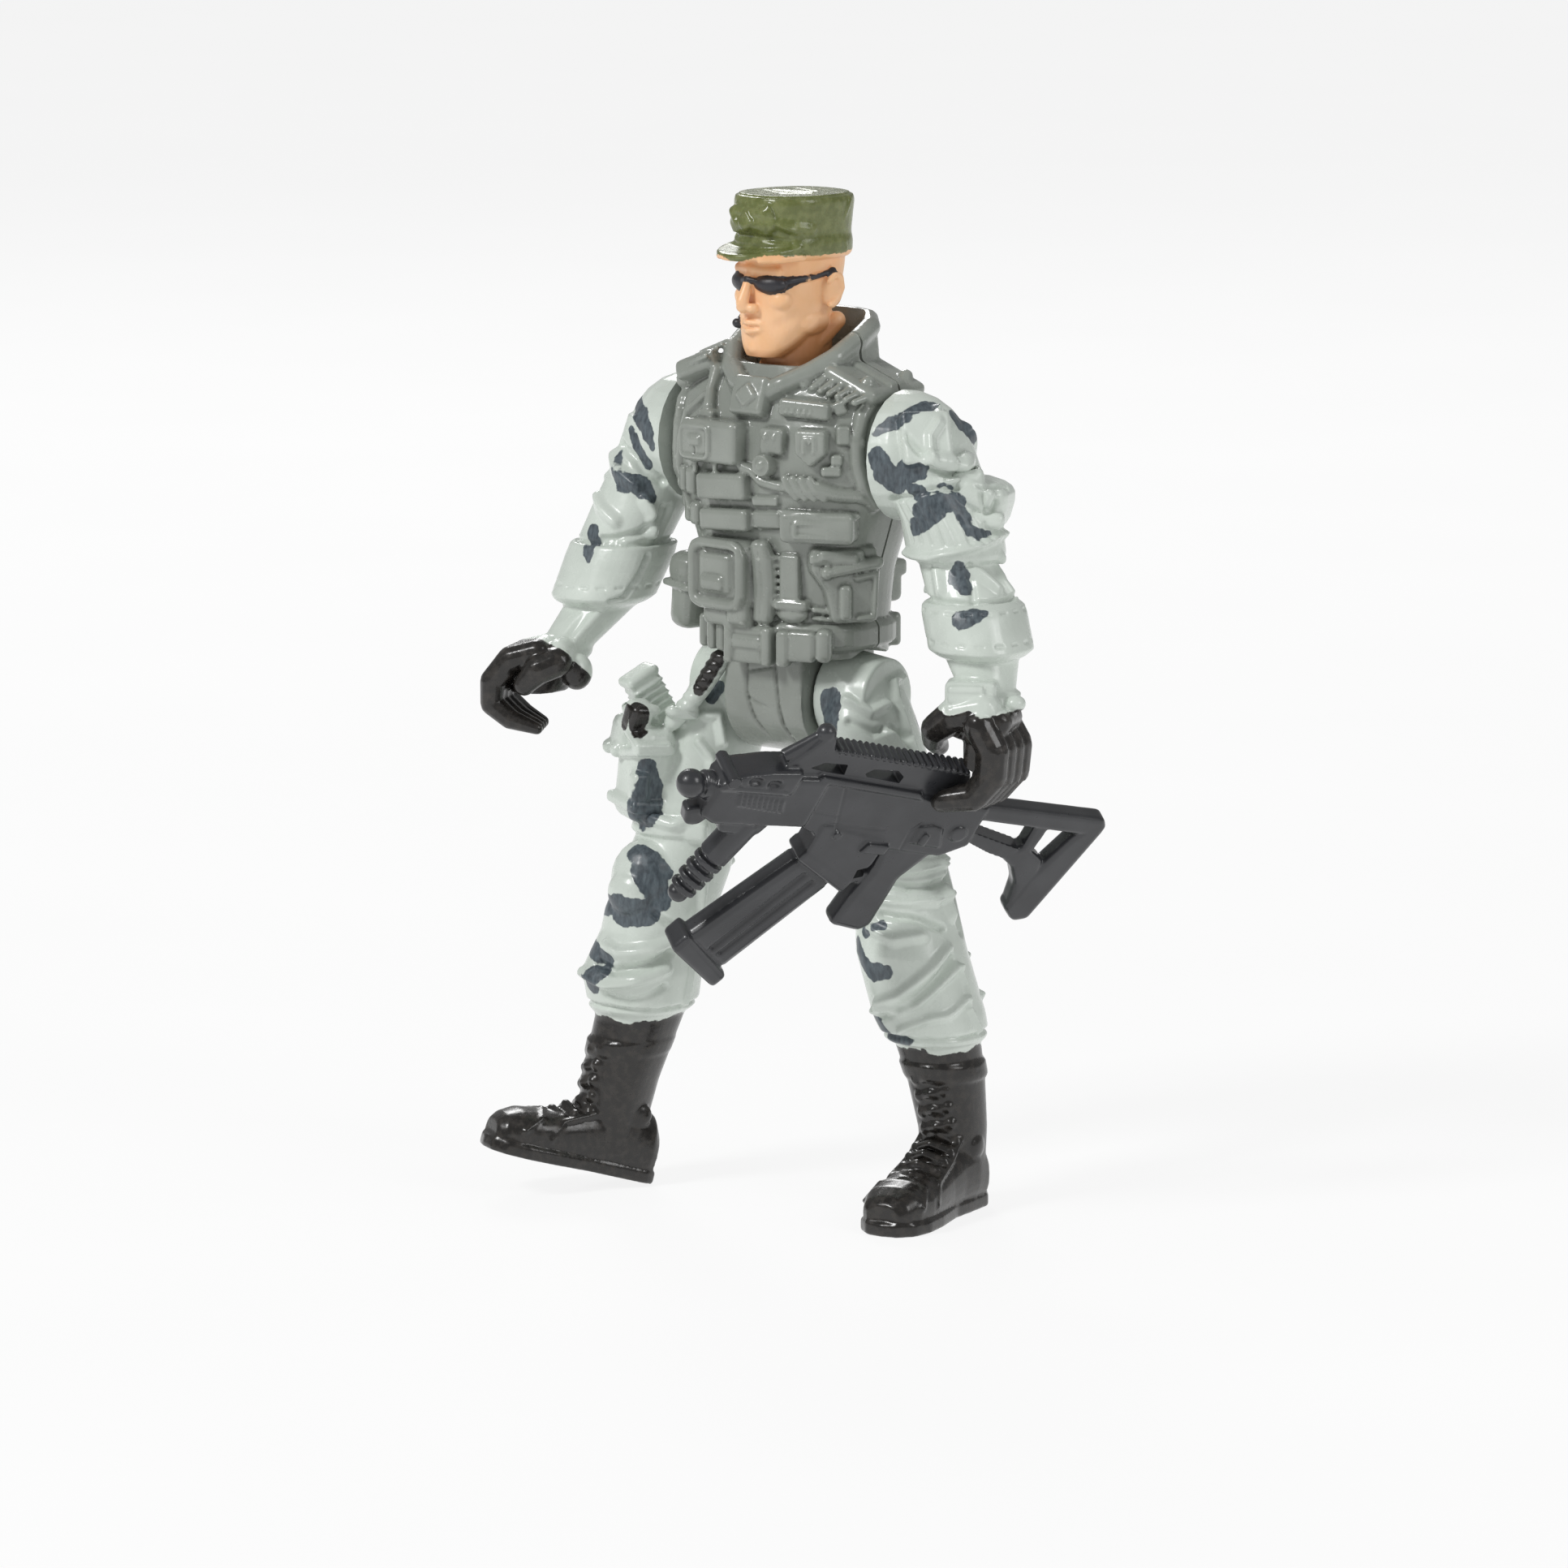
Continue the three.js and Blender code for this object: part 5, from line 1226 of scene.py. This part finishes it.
LEFT_LEG = [
    [50.6, 7.8, 0, 2.8, 3.9], [47.5, 8.4, -0.3, 3.5, 5.0], [43.5, 9.3, -0.2, 4.1, 5.4],
    [38.0, 10.2, 0.4, 4.3, 5.0], [33.0, 11.0, 1.4, 4.1, 4.4], [30.0, 11.4, 1.5, 4.5, 4.7],
    [25.0, 12.4, 1.2, 5.0, 5.2], [18.9, 13.9, 2.0, 5.1, 5.3], [17.2, 14.4, 2.2, 4.9, 5.0],
    [16.5, 14.6, 2.2, 4.4, 4.6], [16.3, 14.7, 2.3, 3.9, 4.0], [12.8, 15.4, 2.7, 3.5, 3.7],
    [8.0, 16.0, 3.0, 3.0, 3.4], [3.0, 16.0, 3.0, 2.8, 3.2],
]
RIGHT_LEG = [
    [50.6, -7.8, 0, 2.8, 3.9], [47.5, -8.4, -0.5, 3.5, 5.0], [43.5, -9.2, -1.4, 4.1, 5.4],
    [37.5, -10.0, -3.4, 4.6, 5.2], [35.4, -10.2, -4.0, 4.4, 5.0], [31.0, -10.9, -5.4, 4.9, 5.4],
    [27.6, -11.5, -6.8, 5.0, 5.4], [25.6, -12.0, -7.2, 4.8, 5.1], [21.6, -13.2, -7.6, 5.4, 5.8],
    [18.8, -13.6, -7.0, 5.1, 5.4], [17.8, -13.8, -6.9, 4.8, 5.1], [17.3, -14.0, -6.9, 4.2, 4.5],
    [17.1, -14.0, -6.9, 4.0, 4.3], [10.5, -15.5, -8.2, 3.5, 3.8],
    [6.4, -16.1, -8.4, 3.0, 3.3], [3.6, -16.1, -8.4, 2.8, 3.0],
]
SOLE = 1.3


def boot_shapes():
    """A combat boot's foot, standing on z = 0 at the ankle's axis and pointing to -Y."""
    bm = bmesh.new()
    # rows run from heel to toe: way forward, height of the middle, half width, half height
    rows = [(2.8, 2.6, 2.4, 2.4), (2.0, 3.3, 2.95, 3.2), (0.0, 3.9, 3.1, 3.7), (-2.4, 3.6, 2.9, 3.4),
            (-4.6, 3.1, 2.9, 2.9), (-7.0, 2.7, 3.1, 2.5), (-9.4, 2.4, 3.25, 2.3), (-11.6, 2.2, 3.1, 2.2),
            (-13.0, 1.9, 2.5, 1.8), (-13.7, 1.7, 1.7, 1.3)]
    loops = []
    for y, z, a, b in rows:
        made = ring(bm, (0, z, -y), (a, b), 2.4, 28)
        verts = {v for e in made for v in e.verts}
        bmesh.ops.rotate(bm, verts=list(verts), cent=(0, 0, 0), matrix=Euler((math.pi / 2, 0, 0)).to_matrix())
        loops.append(made)
    for a, b in zip(loops, loops[1:]):
        bmesh.ops.bridge_loops(bm, edges=a + b)
    for end in (loops[0], loops[-1]):
        bmesh.ops.contextual_create(bm, geom=end)
    tread = [(2.7, 2.2), (2.2, 3.1), (0, 3.5), (-2.2, 3.1), (-2.7, 2.2), (-2.7, -1.4), (-2.6, -3.6), (-3.3, -7.6),
             (-3.5, -10.4), (-3.0, -12.6), (-1.7, -13.9), (0, -14.2), (1.7, -13.9), (3.0, -12.6), (3.5, -10.4),
             (3.3, -7.6), (2.6, -3.6), (2.7, -1.4)]
    plate(bm, place((0, 0, SOLE / 2)), tread, SOLE, 0.22)
    piping(bm, [(-3.15, -11.4, 2.6), (-2.4, -9.8, 4.1), (0, -9.2, 4.75), (2.4, -9.8, 4.1), (3.15, -11.4, 2.6)],
           0.28)
    for k in range(5):  # laces over the tongue
        y, z = -2.9 - 1.25 * k, 7.6 - 0.72 * k
        piping(bm, [(-1.5, y + 0.25, z - 0.4), (0, y - 0.25, z + 0.2), (1.5, y + 0.25, z - 0.4)], 0.5)
        for side in (-1, 1):
            bead(bm, (side * 1.8, y + 0.4, z - 0.45), 0.6)
    for side in (-1, 1):
        piping(bm, [(side * 2.1, -2.0, 7.6), (side * 2.3, -4.4, 5.6), (side * 2.6, -7.6, 4.2),
                    (side * 3.1, -8.6, 2.2)], 0.3)
        bead(bm, (side * 2.7, -0.2, 6.4), (0.55, 1.2, 1.2))
    return bm


def boot_matrix(x, y, splay, toe_up=0.0):
    return place((x, y, 0), (0, 0, splay)) @ place((0, 3.5, 0), (-toe_up, 0, 0)) @ place((0, -3.5, 0))


def boot_shaft(bm, limb_rows, heights, side_turn):
    """Crossed laces up the shaft above the foot, with a bead at each end."""
    rows = np.array(sorted(limb_rows), float)
    for z in heights:
        x, y, b = (np.interp(z, rows[:, 0], rows[:, k]) for k in (1, 2, 4))
        front = Vector((x, y, z)) + Matrix.Rotation(math.radians(side_turn), 3, "Z") @ Vector((0, -b, 0))
        across = Matrix.Rotation(math.radians(side_turn), 3, "Z") @ Vector((1.3, 0.5, 0))
        other = Matrix.Rotation(math.radians(side_turn), 3, "Z") @ Vector((-1.3, 0.5, 0))
        up = Vector((0, 0, 0.35))
        piping(bm, [front + other - up, front, front + across + up], [0.4, 0.5, 0.4])
        piping(bm, [front + other + up, front, front + across - up], [0.3, 0.4, 0.3])
        bead(bm, front + across + up, 0.62)
        bead(bm, front + other - up, 0.62)


def hub(bm, side):
    rod(bm, (side * (HIP_X + GAP), 0, HIP_Z), (side * 10.4, 0, HIP_Z), 4.6, 3.9, 48)


def hip_peg(side):
    return peg_shell(HIP_X + 1, HIP_Z, side, HIP_X - HIP_PEG_REACH)


LEFT_LEG_FOLDS = [
    (0.6, 0.4, [(-75, 32.9), (-50, 33.2), (-6, 33.4), (30, 33.6)]),
    (0.5, -0.45, [(-80, 31.9), (-48, 31.6), (-13, 31.6), (20, 32.0)]),
    (0.6, 0.4, [(-86, 30.4), (-47, 30.2), (-13, 30.2), (14, 30.6)]),
    (0.5, -0.4, [(-84, 29.0), (-48, 28.8), (-11, 27.6)]),
    (0.8, 0.4, [(11, 33.2), (6, 31.0), (11, 28.6)]),
    (0.7, -0.4, [(24, 36.0), (22, 32.0), (26, 27.0)]),
    (0.6, 0.5, [(37, 51.0), (8, 50.6), (1, 48.9), (5, 46.4), (8, 42.0)]),
    (0.6, 0.35, [(-80, 49.4), (-50, 48.2), (-20, 48.8)]),
    (0.5, -0.3, [(-76, 47.4), (-50, 46.4), (-24, 46.8), (0, 45.6)]),
    (0.7, 0.35, [(-96, 44.2), (-60, 43.0), (-30, 43.6)]),
    (0.6, 0.35, [(-4, 40.2), (14, 38.4), (22, 36.0)]),
    (0.6, 0.4, [(-30, 46.6), (-10, 44.2), (8, 42.6)]),
    (0.7, 0.45, [(-109, 20.5), (-76, 21.5), (-54, 22.9), (-31, 24.4), (-9, 25.8)]),
    (0.6, 0.4, [(-120, 19.6), (-81, 20.0), (-59, 20.9), (-37, 22.4), (-2, 23.9)]),
    (0.6, -0.35, [(-110, 19.2), (-70, 20.5), (-40, 22.6), (-8, 24.8)]),
    (0.5, 0.35, [(-90, 18.0), (-83, 18.3), (-51, 19.4), (-32, 19.6), (-3, 20.8)]),
    (0.7, 0.35, [(-100, 27.6), (-70, 26.8), (-40, 27.2)]),
    (0.35, 0.3, [(1, 24.0), (4, 22.1), (-1, 19.9), (9, 17.6)]),
    (0.6, 0.35, [(60, 24.0), (90, 22.6), (130, 24.6)]),
    (0.6, 0.35, [(50, 20.4), (90, 19.2), (140, 20.8), (190, 19.6)]),
    (0.7, 0.4, [(70, 33.0), (100, 31.4), (150, 33.2)]),
    (0.6, -0.35, [(80, 31.6), (110, 30.0), (160, 31.0)]),
    (0.8, 0.4, [(90, 44.0), (120, 41.8), (150, 42.6)]),
    (0.7, 0.35, [(60, 39.0), (100, 37.6), (140, 38.2)]),
    (0.35, -0.25, [(-200, 17.2), (-112, 17.2), (-60, 17.3), (0, 17.4), (80, 17.3), (150, 17.3)]),
]
LEFT_LEG_CAMO = [
    [(-104, 49.2, 0.95), (-105, 47.6, 1.05), (-107, 46.2, 0.95)],
    [(-125, 26.0, 0.4), (-118, 24.3, 0.6), (-105, 23.5, 0.75), (-87, 23.7, 0.56)],
    [(-107, 27.2, 0.42), (-84, 28.0, 0.42)],
    [(-125, 19.0, 0.4), (-112, 17.0, 0.5), (-90, 17.0, 0.36), (-78, 17.2, 0.1)],
    [(40, 40.0, 0.9), (62, 41.6, 1.2), (84, 41.0, 0.7)],
    [(60, 46.4, 0.7), (84, 47.0, 1.0), (104, 46.0, 0.5)],
    [(100, 34.2, 0.7), (124, 35.0, 1.1), (150, 34.4, 0.6)],
    [(60, 25.0, 0.7), (84, 26.0, 1.0), (100, 25.0, 0.4)],
    [(130, 21.0, 0.6), (154, 22.2, 1.0), (176, 21.6, 0.6)],
    [(-160, 38.0, 0.6), (-178, 39.6, 1.0), (-196, 39.0, 0.5)],
]
RIGHT_LEG_FOLDS = [
    (0.6, 0.45, [(-146, 46.9), (-93, 47.0), (-58, 46.4), (-45, 43.9)]),
    (0.6, 0.4, [(-70, 44.0), (-52, 42.4), (-44, 40.6)]),
    (0.7, 0.45, [(-98, 36.6), (-70, 36.2), (-44, 36.8)]),
    (0.5, -0.3, [(-60, 28.0), (-46, 27.2), (-28, 26.6)]),
    (0.8, 0.5, [(-104, 24.4), (-84, 23.9), (-65, 24.2), (-47, 24.6), (-30, 25.4)]),
    (0.6, -0.5, [(-106, 22.7), (-84, 22.2), (-65, 22.6), (-47, 23.0), (-30, 24.0)]),
    (0.7, 0.4, [(-116, 21.4), (-90, 20.8), (-60, 21.4), (-30, 22.4)]),
    (0.5, -0.3, [(-92, 19.6), (-64, 19.2), (-30, 20.6)]),
    (0.6, 0.35, [(-20, 31.0), (-6, 28.0), (-12, 24.6)]),
    (0.35, 0.3, [(2, 26.0), (6, 22.0), (2, 18.2)]),
    (0.6, 0.4, [(70, 24.6), (110, 22.8), (160, 24.2)]),
    (0.6, -0.4, [(80, 23.2), (110, 21.6), (160, 22.6)]),
    (0.7, 0.4, [(60, 31.6), (90, 29.8), (130, 31.0), (160, 30.0)]),
    (0.8, 0.4, [(70, 43.0), (104, 41.0), (140, 42.0)]),
    (0.6, 0.35, [(150, 21.0), (190, 20.0), (230, 21.4)]),
    (0.35, -0.25, [(-190, 18.3), (-114, 18.4), (-48, 18.2), (0, 18.2), (80, 18.3), (150, 18.3)]),
]
RIGHT_LEG_CAMO = [
    [(-95, 33.6, 0.8), (-78, 33.1, 0.5), (-62, 31.7, 0.4)],
    [(-82, 32.1, 1.05), (-72, 31.0, 1.2), (-61, 29.3, 0.95)],
    [(-132, 28.2, 1.0), (-110, 28.4, 0.9), (-94, 28.1, 1.35), (-72, 28.1, 1.15), (-62, 27.9, 0.6)],
    [(-131, 23.8, 0.62), (-106, 23.4, 0.7), (-93, 23.3, 0.46)],
    [(-111, 20.7, 0.95), (-97, 22.1, 0.7), (-96, 22.9, 0.6)],
    [(-74, 51.0, 0.45)], [(-66, 49.2, 0.4), (-72, 48.0, 0.42)],
    [(140, 46.0, 0.9), (164, 44.6, 1.2), (186, 45.4, 0.6)],
    [(90, 38.4, 0.7), (116, 39.6, 1.1), (140, 39.0, 0.6)],
    [(160, 33.4, 0.8), (184, 32.0, 1.1), (204, 32.8, 0.5)],
    [(70, 27.0, 0.6), (96, 28.0, 1.0), (112, 27.0, 0.5)],
    [(120, 20.8, 0.5), (146, 21.6, 0.8), (166, 21.0, 0.4)],
]


def flat_sole(obj, foot):
    cut(obj, block, foot @ place((0, 0, -5)), (60, 60, 10), 0.01)


def boot_black(co, ankle, top, ragged):
    """The boots' paint: everything below the hem, with brushed spikes at the top."""
    angle = np.arctan2(co[:, 1] - ankle[1], co[:, 0] - ankle[0])
    line = top + ragged * (np.sin(3 * angle + 1.0) * 0.5 + np.sin(7 * angle) * 0.35)
    return co[:, 2] - line


def leg_left(material):
    bm = bmesh.new()
    column(bm, LEFT_LEG, 2.3, 44, 0.4, 0)
    hub(bm, 1)
    foot = boot_matrix(16, 3, 7)
    joined(bm, boot_shapes(), foot)
    boot_shaft(bm, LEFT_LEG, (8.6, 10.2, 11.8, 13.4), 10)
    column(bm, [[12.6, 15.4, 2.7, 3.3, 3.5], [13.0, 15.4, 2.7, 3.85, 4.05], [14.4, 15.1, 2.5, 3.95, 4.15],
                [14.9, 15.0, 2.5, 3.6, 3.8]], 2.2, 40, 0.3, 0)
    obj = fused("leg_left_skin", bm, LEG_VOXEL, 2)
    limb = Limb(LEFT_LEG, obj)
    sculpt(obj, limb.strokes(LEFT_LEG_FOLDS))
    flat_sole(obj, foot)
    co = points_of(obj)
    spikes = limb.marks([[(-95, 14.6, 0.5), (-95, 16.0, 0.12)], [(-74, 14.8, 0.5), (-74, 16.2, 0.12)]])
    painted(obj, "camo", limb.marks(LEFT_LEG_CAMO))
    painted(obj, "black", spikes, boot_black(co, (15, 2.6), 15.9, 0.4))
    add_shell(obj, hip_peg(1))
    finish_piece(obj, material, "leg_left", "leg_left", 60)


HOLSTER = place((-12.6, -7.9, 40.8), (-4, 5, -25))
PISTOL = place((-13.5, -5.9, 47.6), (28, 0, -25))


def holster(bm):
    """A drop-leg holster with a pistol, its retaining straps and the strap it hangs from."""
    block(bm, HOLSTER, (5.2, 4.2, 9.4), 1.3)
    block(bm, HOLSTER @ place((-1.5, -0.5, 3.3), (0, 10, 0)), (3.2, 4.6, 3.8), 0.9)
    for x in (-2.7, -1.1):
        bead(bm, HOLSTER @ Vector((x, -2.6, 1.9)), 0.75)
    block(bm, HOLSTER @ place((0.8, -0.8, 3.9), (0, 24, 0)), (5.0, 4.0, 0.9), 0.3)
    block(bm, HOLSTER @ place((0.6, -0.7, 2.1), (0, -14, 0)), (5.4, 4.2, 0.9), 0.3)
    block(bm, HOLSTER @ place((0.2, -0.2, -2.9)), (5.9, 4.7, 1.2), 0.4)
    block(bm, HOLSTER @ place((2.2, -1.7, -0.9)), (1.7, 1.8, 2.8), 0.5)
    block(bm, HOLSTER @ place((0.5, -1.6, 5.6), (0, 22, 0)), (2.4, 2.4, 3.0), 0.6)
    block(bm, HOLSTER @ place((-1.4, -1.0, 5.0), (0, 22, 0)), (1.2, 2.2, 2.6), 0.4)
    block(bm, PISTOL, (2.5, 3.2, 5.4), 0.6)
    block(bm, PISTOL @ place((-0.1, 0, 2.5)), (2.8, 3.6, 1.0), 0.4)
    for k in range(5):
        block(bm, PISTOL @ place((0.1, 0, -1.4 + 0.72 * k)), (2.75, 3.3, 0.3), 0.12)
    # beaded strap from the belt, and the keeper of the thigh strap
    hanger = [(-4.9, -5.6, 52.4), (-5.8, -6.0, 50.8), (-6.9, -6.3, 49.2), (-8.2, -6.6, 47.6), (-9.8, -7.2, 45.8)]
    piping(bm, hanger, 0.9)
    for a, b in zip(hanger, hanger[1:]):
        for share in (0.0, 0.5):
            bead(bm, Vector(a).lerp(Vector(b), share) + Vector((0, -0.35, 0)), (1.15, 0.9, 0.62))
    block(bm, place((-6.6, -7.6, 35.6), (0, 0, 24)), (2.4, 1.8, 1.9), 0.5)


def leg_right(material):
    bm = bmesh.new()
    column(bm, RIGHT_LEG, 2.3, 44, 0.4, 0)
    hub(bm, -1)
    splay, toe_up = -32, 16
    foot = boot_matrix(-16.1, -8.4, splay, toe_up)
    joined(bm, boot_shapes(), foot)
    boot_shaft(bm, RIGHT_LEG, (8.8, 10.4, 12.0, 13.6), -28)
    column(bm, [[12.8, -15.0, -7.7, 3.3, 3.5], [13.2, -15.0, -7.7, 3.95, 4.2], [14.6, -14.7, -7.4, 4.05, 4.35],
                [15.1, -14.6, -7.3, 3.6, 3.8]], 2.2, 40, 0.3, 0)
    bead(bm, (-11.4, -9.0, 30.6), (3.7, 3.3, 4.0))  # knee pad
    bead(bm, (-11.6, -11.2, 29.6), (2.6, 1.9, 2.4))
    column(bm, [[35.0, -10.3, -4.2, 4.7, 5.3], [35.2, -10.3, -4.15, 5.0, 5.6], [36.6, -10.1, -3.8, 5.0, 5.6],
                [36.8, -10.1, -3.7, 4.7, 5.3]], 2.3, 40, 0.2, 0)
    holster(bm)
    obj = fused("leg_right_skin", bm, LEG_VOXEL, 2)
    limb = Limb(RIGHT_LEG, obj)
    strokes = limb.strokes(RIGHT_LEG_FOLDS)
    pad = [(-15.0, -10.6, 31.5), (-13.2, -12.6, 32.9), (-10.6, -12.9, 33.0), (-8.6, -11.6, 31.8)]
    strokes += [(pad, 0.4, -0.3), ([(x, y - 1.2, z - 3.6) for x, y, z in pad], 0.4, -0.3)]
    sculpt(obj, strokes)
    flat_sole(obj, foot)
    co = points_of(obj)
    grey = [(2.6, -1.2, 0.9, 1.0), (2.7, -0.9, -1.0, 1.6), (2.7, -1.0, -3.2, 1.7), (2.2, -1.6, -4.4, 1.3)]
    painted(obj, "camo", limb.marks(RIGHT_LEG_CAMO) + [[(tuple(HOLSTER @ Vector(m[:3])), m[3]) for m in grey]])
    dark = [
        [((1.9, -2.4, 6.6), 1.1), ((2.0, -2.2, 5.0), 1.2)],
        [((0.4, -3.0, 6.2), 0.7), ((0.2, -3.0, 4.8), 0.7)],
    ]
    marks = [[(tuple(HOLSTER @ Vector(p)), r) for p, r in mark] for mark in dark]
    marks.append([((-5.0, -6.6, 52.4), 0.9), ((-5.9, -7.0, 50.6), 0.9), ((-6.6, -7.2, 49.2), 0.6)])
    painted(obj, "black", marks, boot_black(co, (-14.6, -7.4), 17.0, 0.4))
    add_shell(obj, hip_peg(-1))
    finish_piece(obj, material, "leg_right", "leg_right", 60)


# ---------------------------------------------------------------- the set


def floor_piece():
    """A pale flat floor, reaching well under and behind the figure."""
    low = cad_box[0][2]
    bm = bmesh.new()
    grid = bmesh.ops.create_grid(bm, x_segments=40, y_segments=40, size=20.0)
    bmesh.ops.translate(bm, vec=(0, 0, low), verts=grid["verts"])
    bmesh.ops.recalc_face_normals(bm, faces=bm.faces)
    floor = new_object("floor", bm)
    material, tree = new_material("paper_sweep")
    here = add(tree, "ShaderNodeTexCoord", out=3)
    cloud = add(tree, "ShaderNodeTexNoise", {"Vector": here, "Scale": 1 / (60.0 * MM), "Detail": 2.0})
    tone = add(tree, "ShaderNodeMix", {0: cloud, 6: (0.11, 0.11, 0.11, 1), 7: (0.13, 0.13, 0.13, 1)}, 2,
               data_type="RGBA")
    shader = add(tree, "ShaderNodeBsdfPrincipled", {
        "Base Color": tone, "Roughness": 0.9, "Specular IOR Level": 0.0,
        "Emission Color": (1, 1, 1, 1), "Emission Strength": 0.86})
    add(tree, "ShaderNodeOutputMaterial", {"Surface": shader})
    floor.data.materials.append(material)


def lamp(name, at, to, size, watts):
    data = bpy.data.lights.new(name, "AREA")
    data.shape = "RECTANGLE"
    data.size, data.size_y = size
    data.energy = watts
    obj = bpy.data.objects.new(name, data)
    obj.location = at
    obj.rotation_euler = (Vector(to) - Vector(at)).to_track_quat("-Z", "Y").to_euler()
    bpy.context.scene.collection.objects.link(obj)


def studio():
    world = bpy.data.worlds.new("studio_room")
    world.use_nodes = True
    tree = world.node_tree
    tree.nodes.clear()
    sky = add(tree, "ShaderNodeBackground", {"Color": (1, 1, 1, 1), "Strength": 0.32})
    add(tree, "ShaderNodeOutputWorld", {"Surface": sky})
    bpy.context.scene.world = world
    middle = (0, 0, 0.05)
    lamp("key_box", (-0.25, -0.75, 0.75), middle, (0.22, 0.22), 6.0)
    lamp("fill_box", (0.8, 0.0, 0.5), middle, (0.3, 0.4), 1.8)
    lamp("rim_box", (-0.5, 0.5, 0.5), middle, (0.25, 0.25), 1.8)


CAMERA_AT = Vector((0.441534, -0.580349, 0.170036))
CAMERA_TO = Vector((-0.00297, 0.009528, 0.0398))


def camera():
    data = bpy.data.cameras.new("camera")
    data.sensor_width = 36.0
    data.lens = 180.3
    data.clip_start, data.clip_end = 0.05, 20.0
    obj = bpy.data.objects.new("camera", data)
    obj.location = CAMERA_AT
    obj.rotation_euler = (CAMERA_TO - CAMERA_AT).to_track_quat("-Z", "Y").to_euler()
    bpy.context.scene.collection.objects.link(obj)
    bpy.context.scene.camera = obj


vest_material, limb_material = vest_pvc(), limb_pvc()
torso_halves(vest_material)
head_piece(head_pvc())
arm_left(limb_material)
arm_right(limb_material)
leg_left(limb_material)
leg_right(limb_material)
rifle_piece(rifle_pvc())
floor_piece()
studio()
camera()
bpy.context.scene.view_settings.view_transform = "Standard"
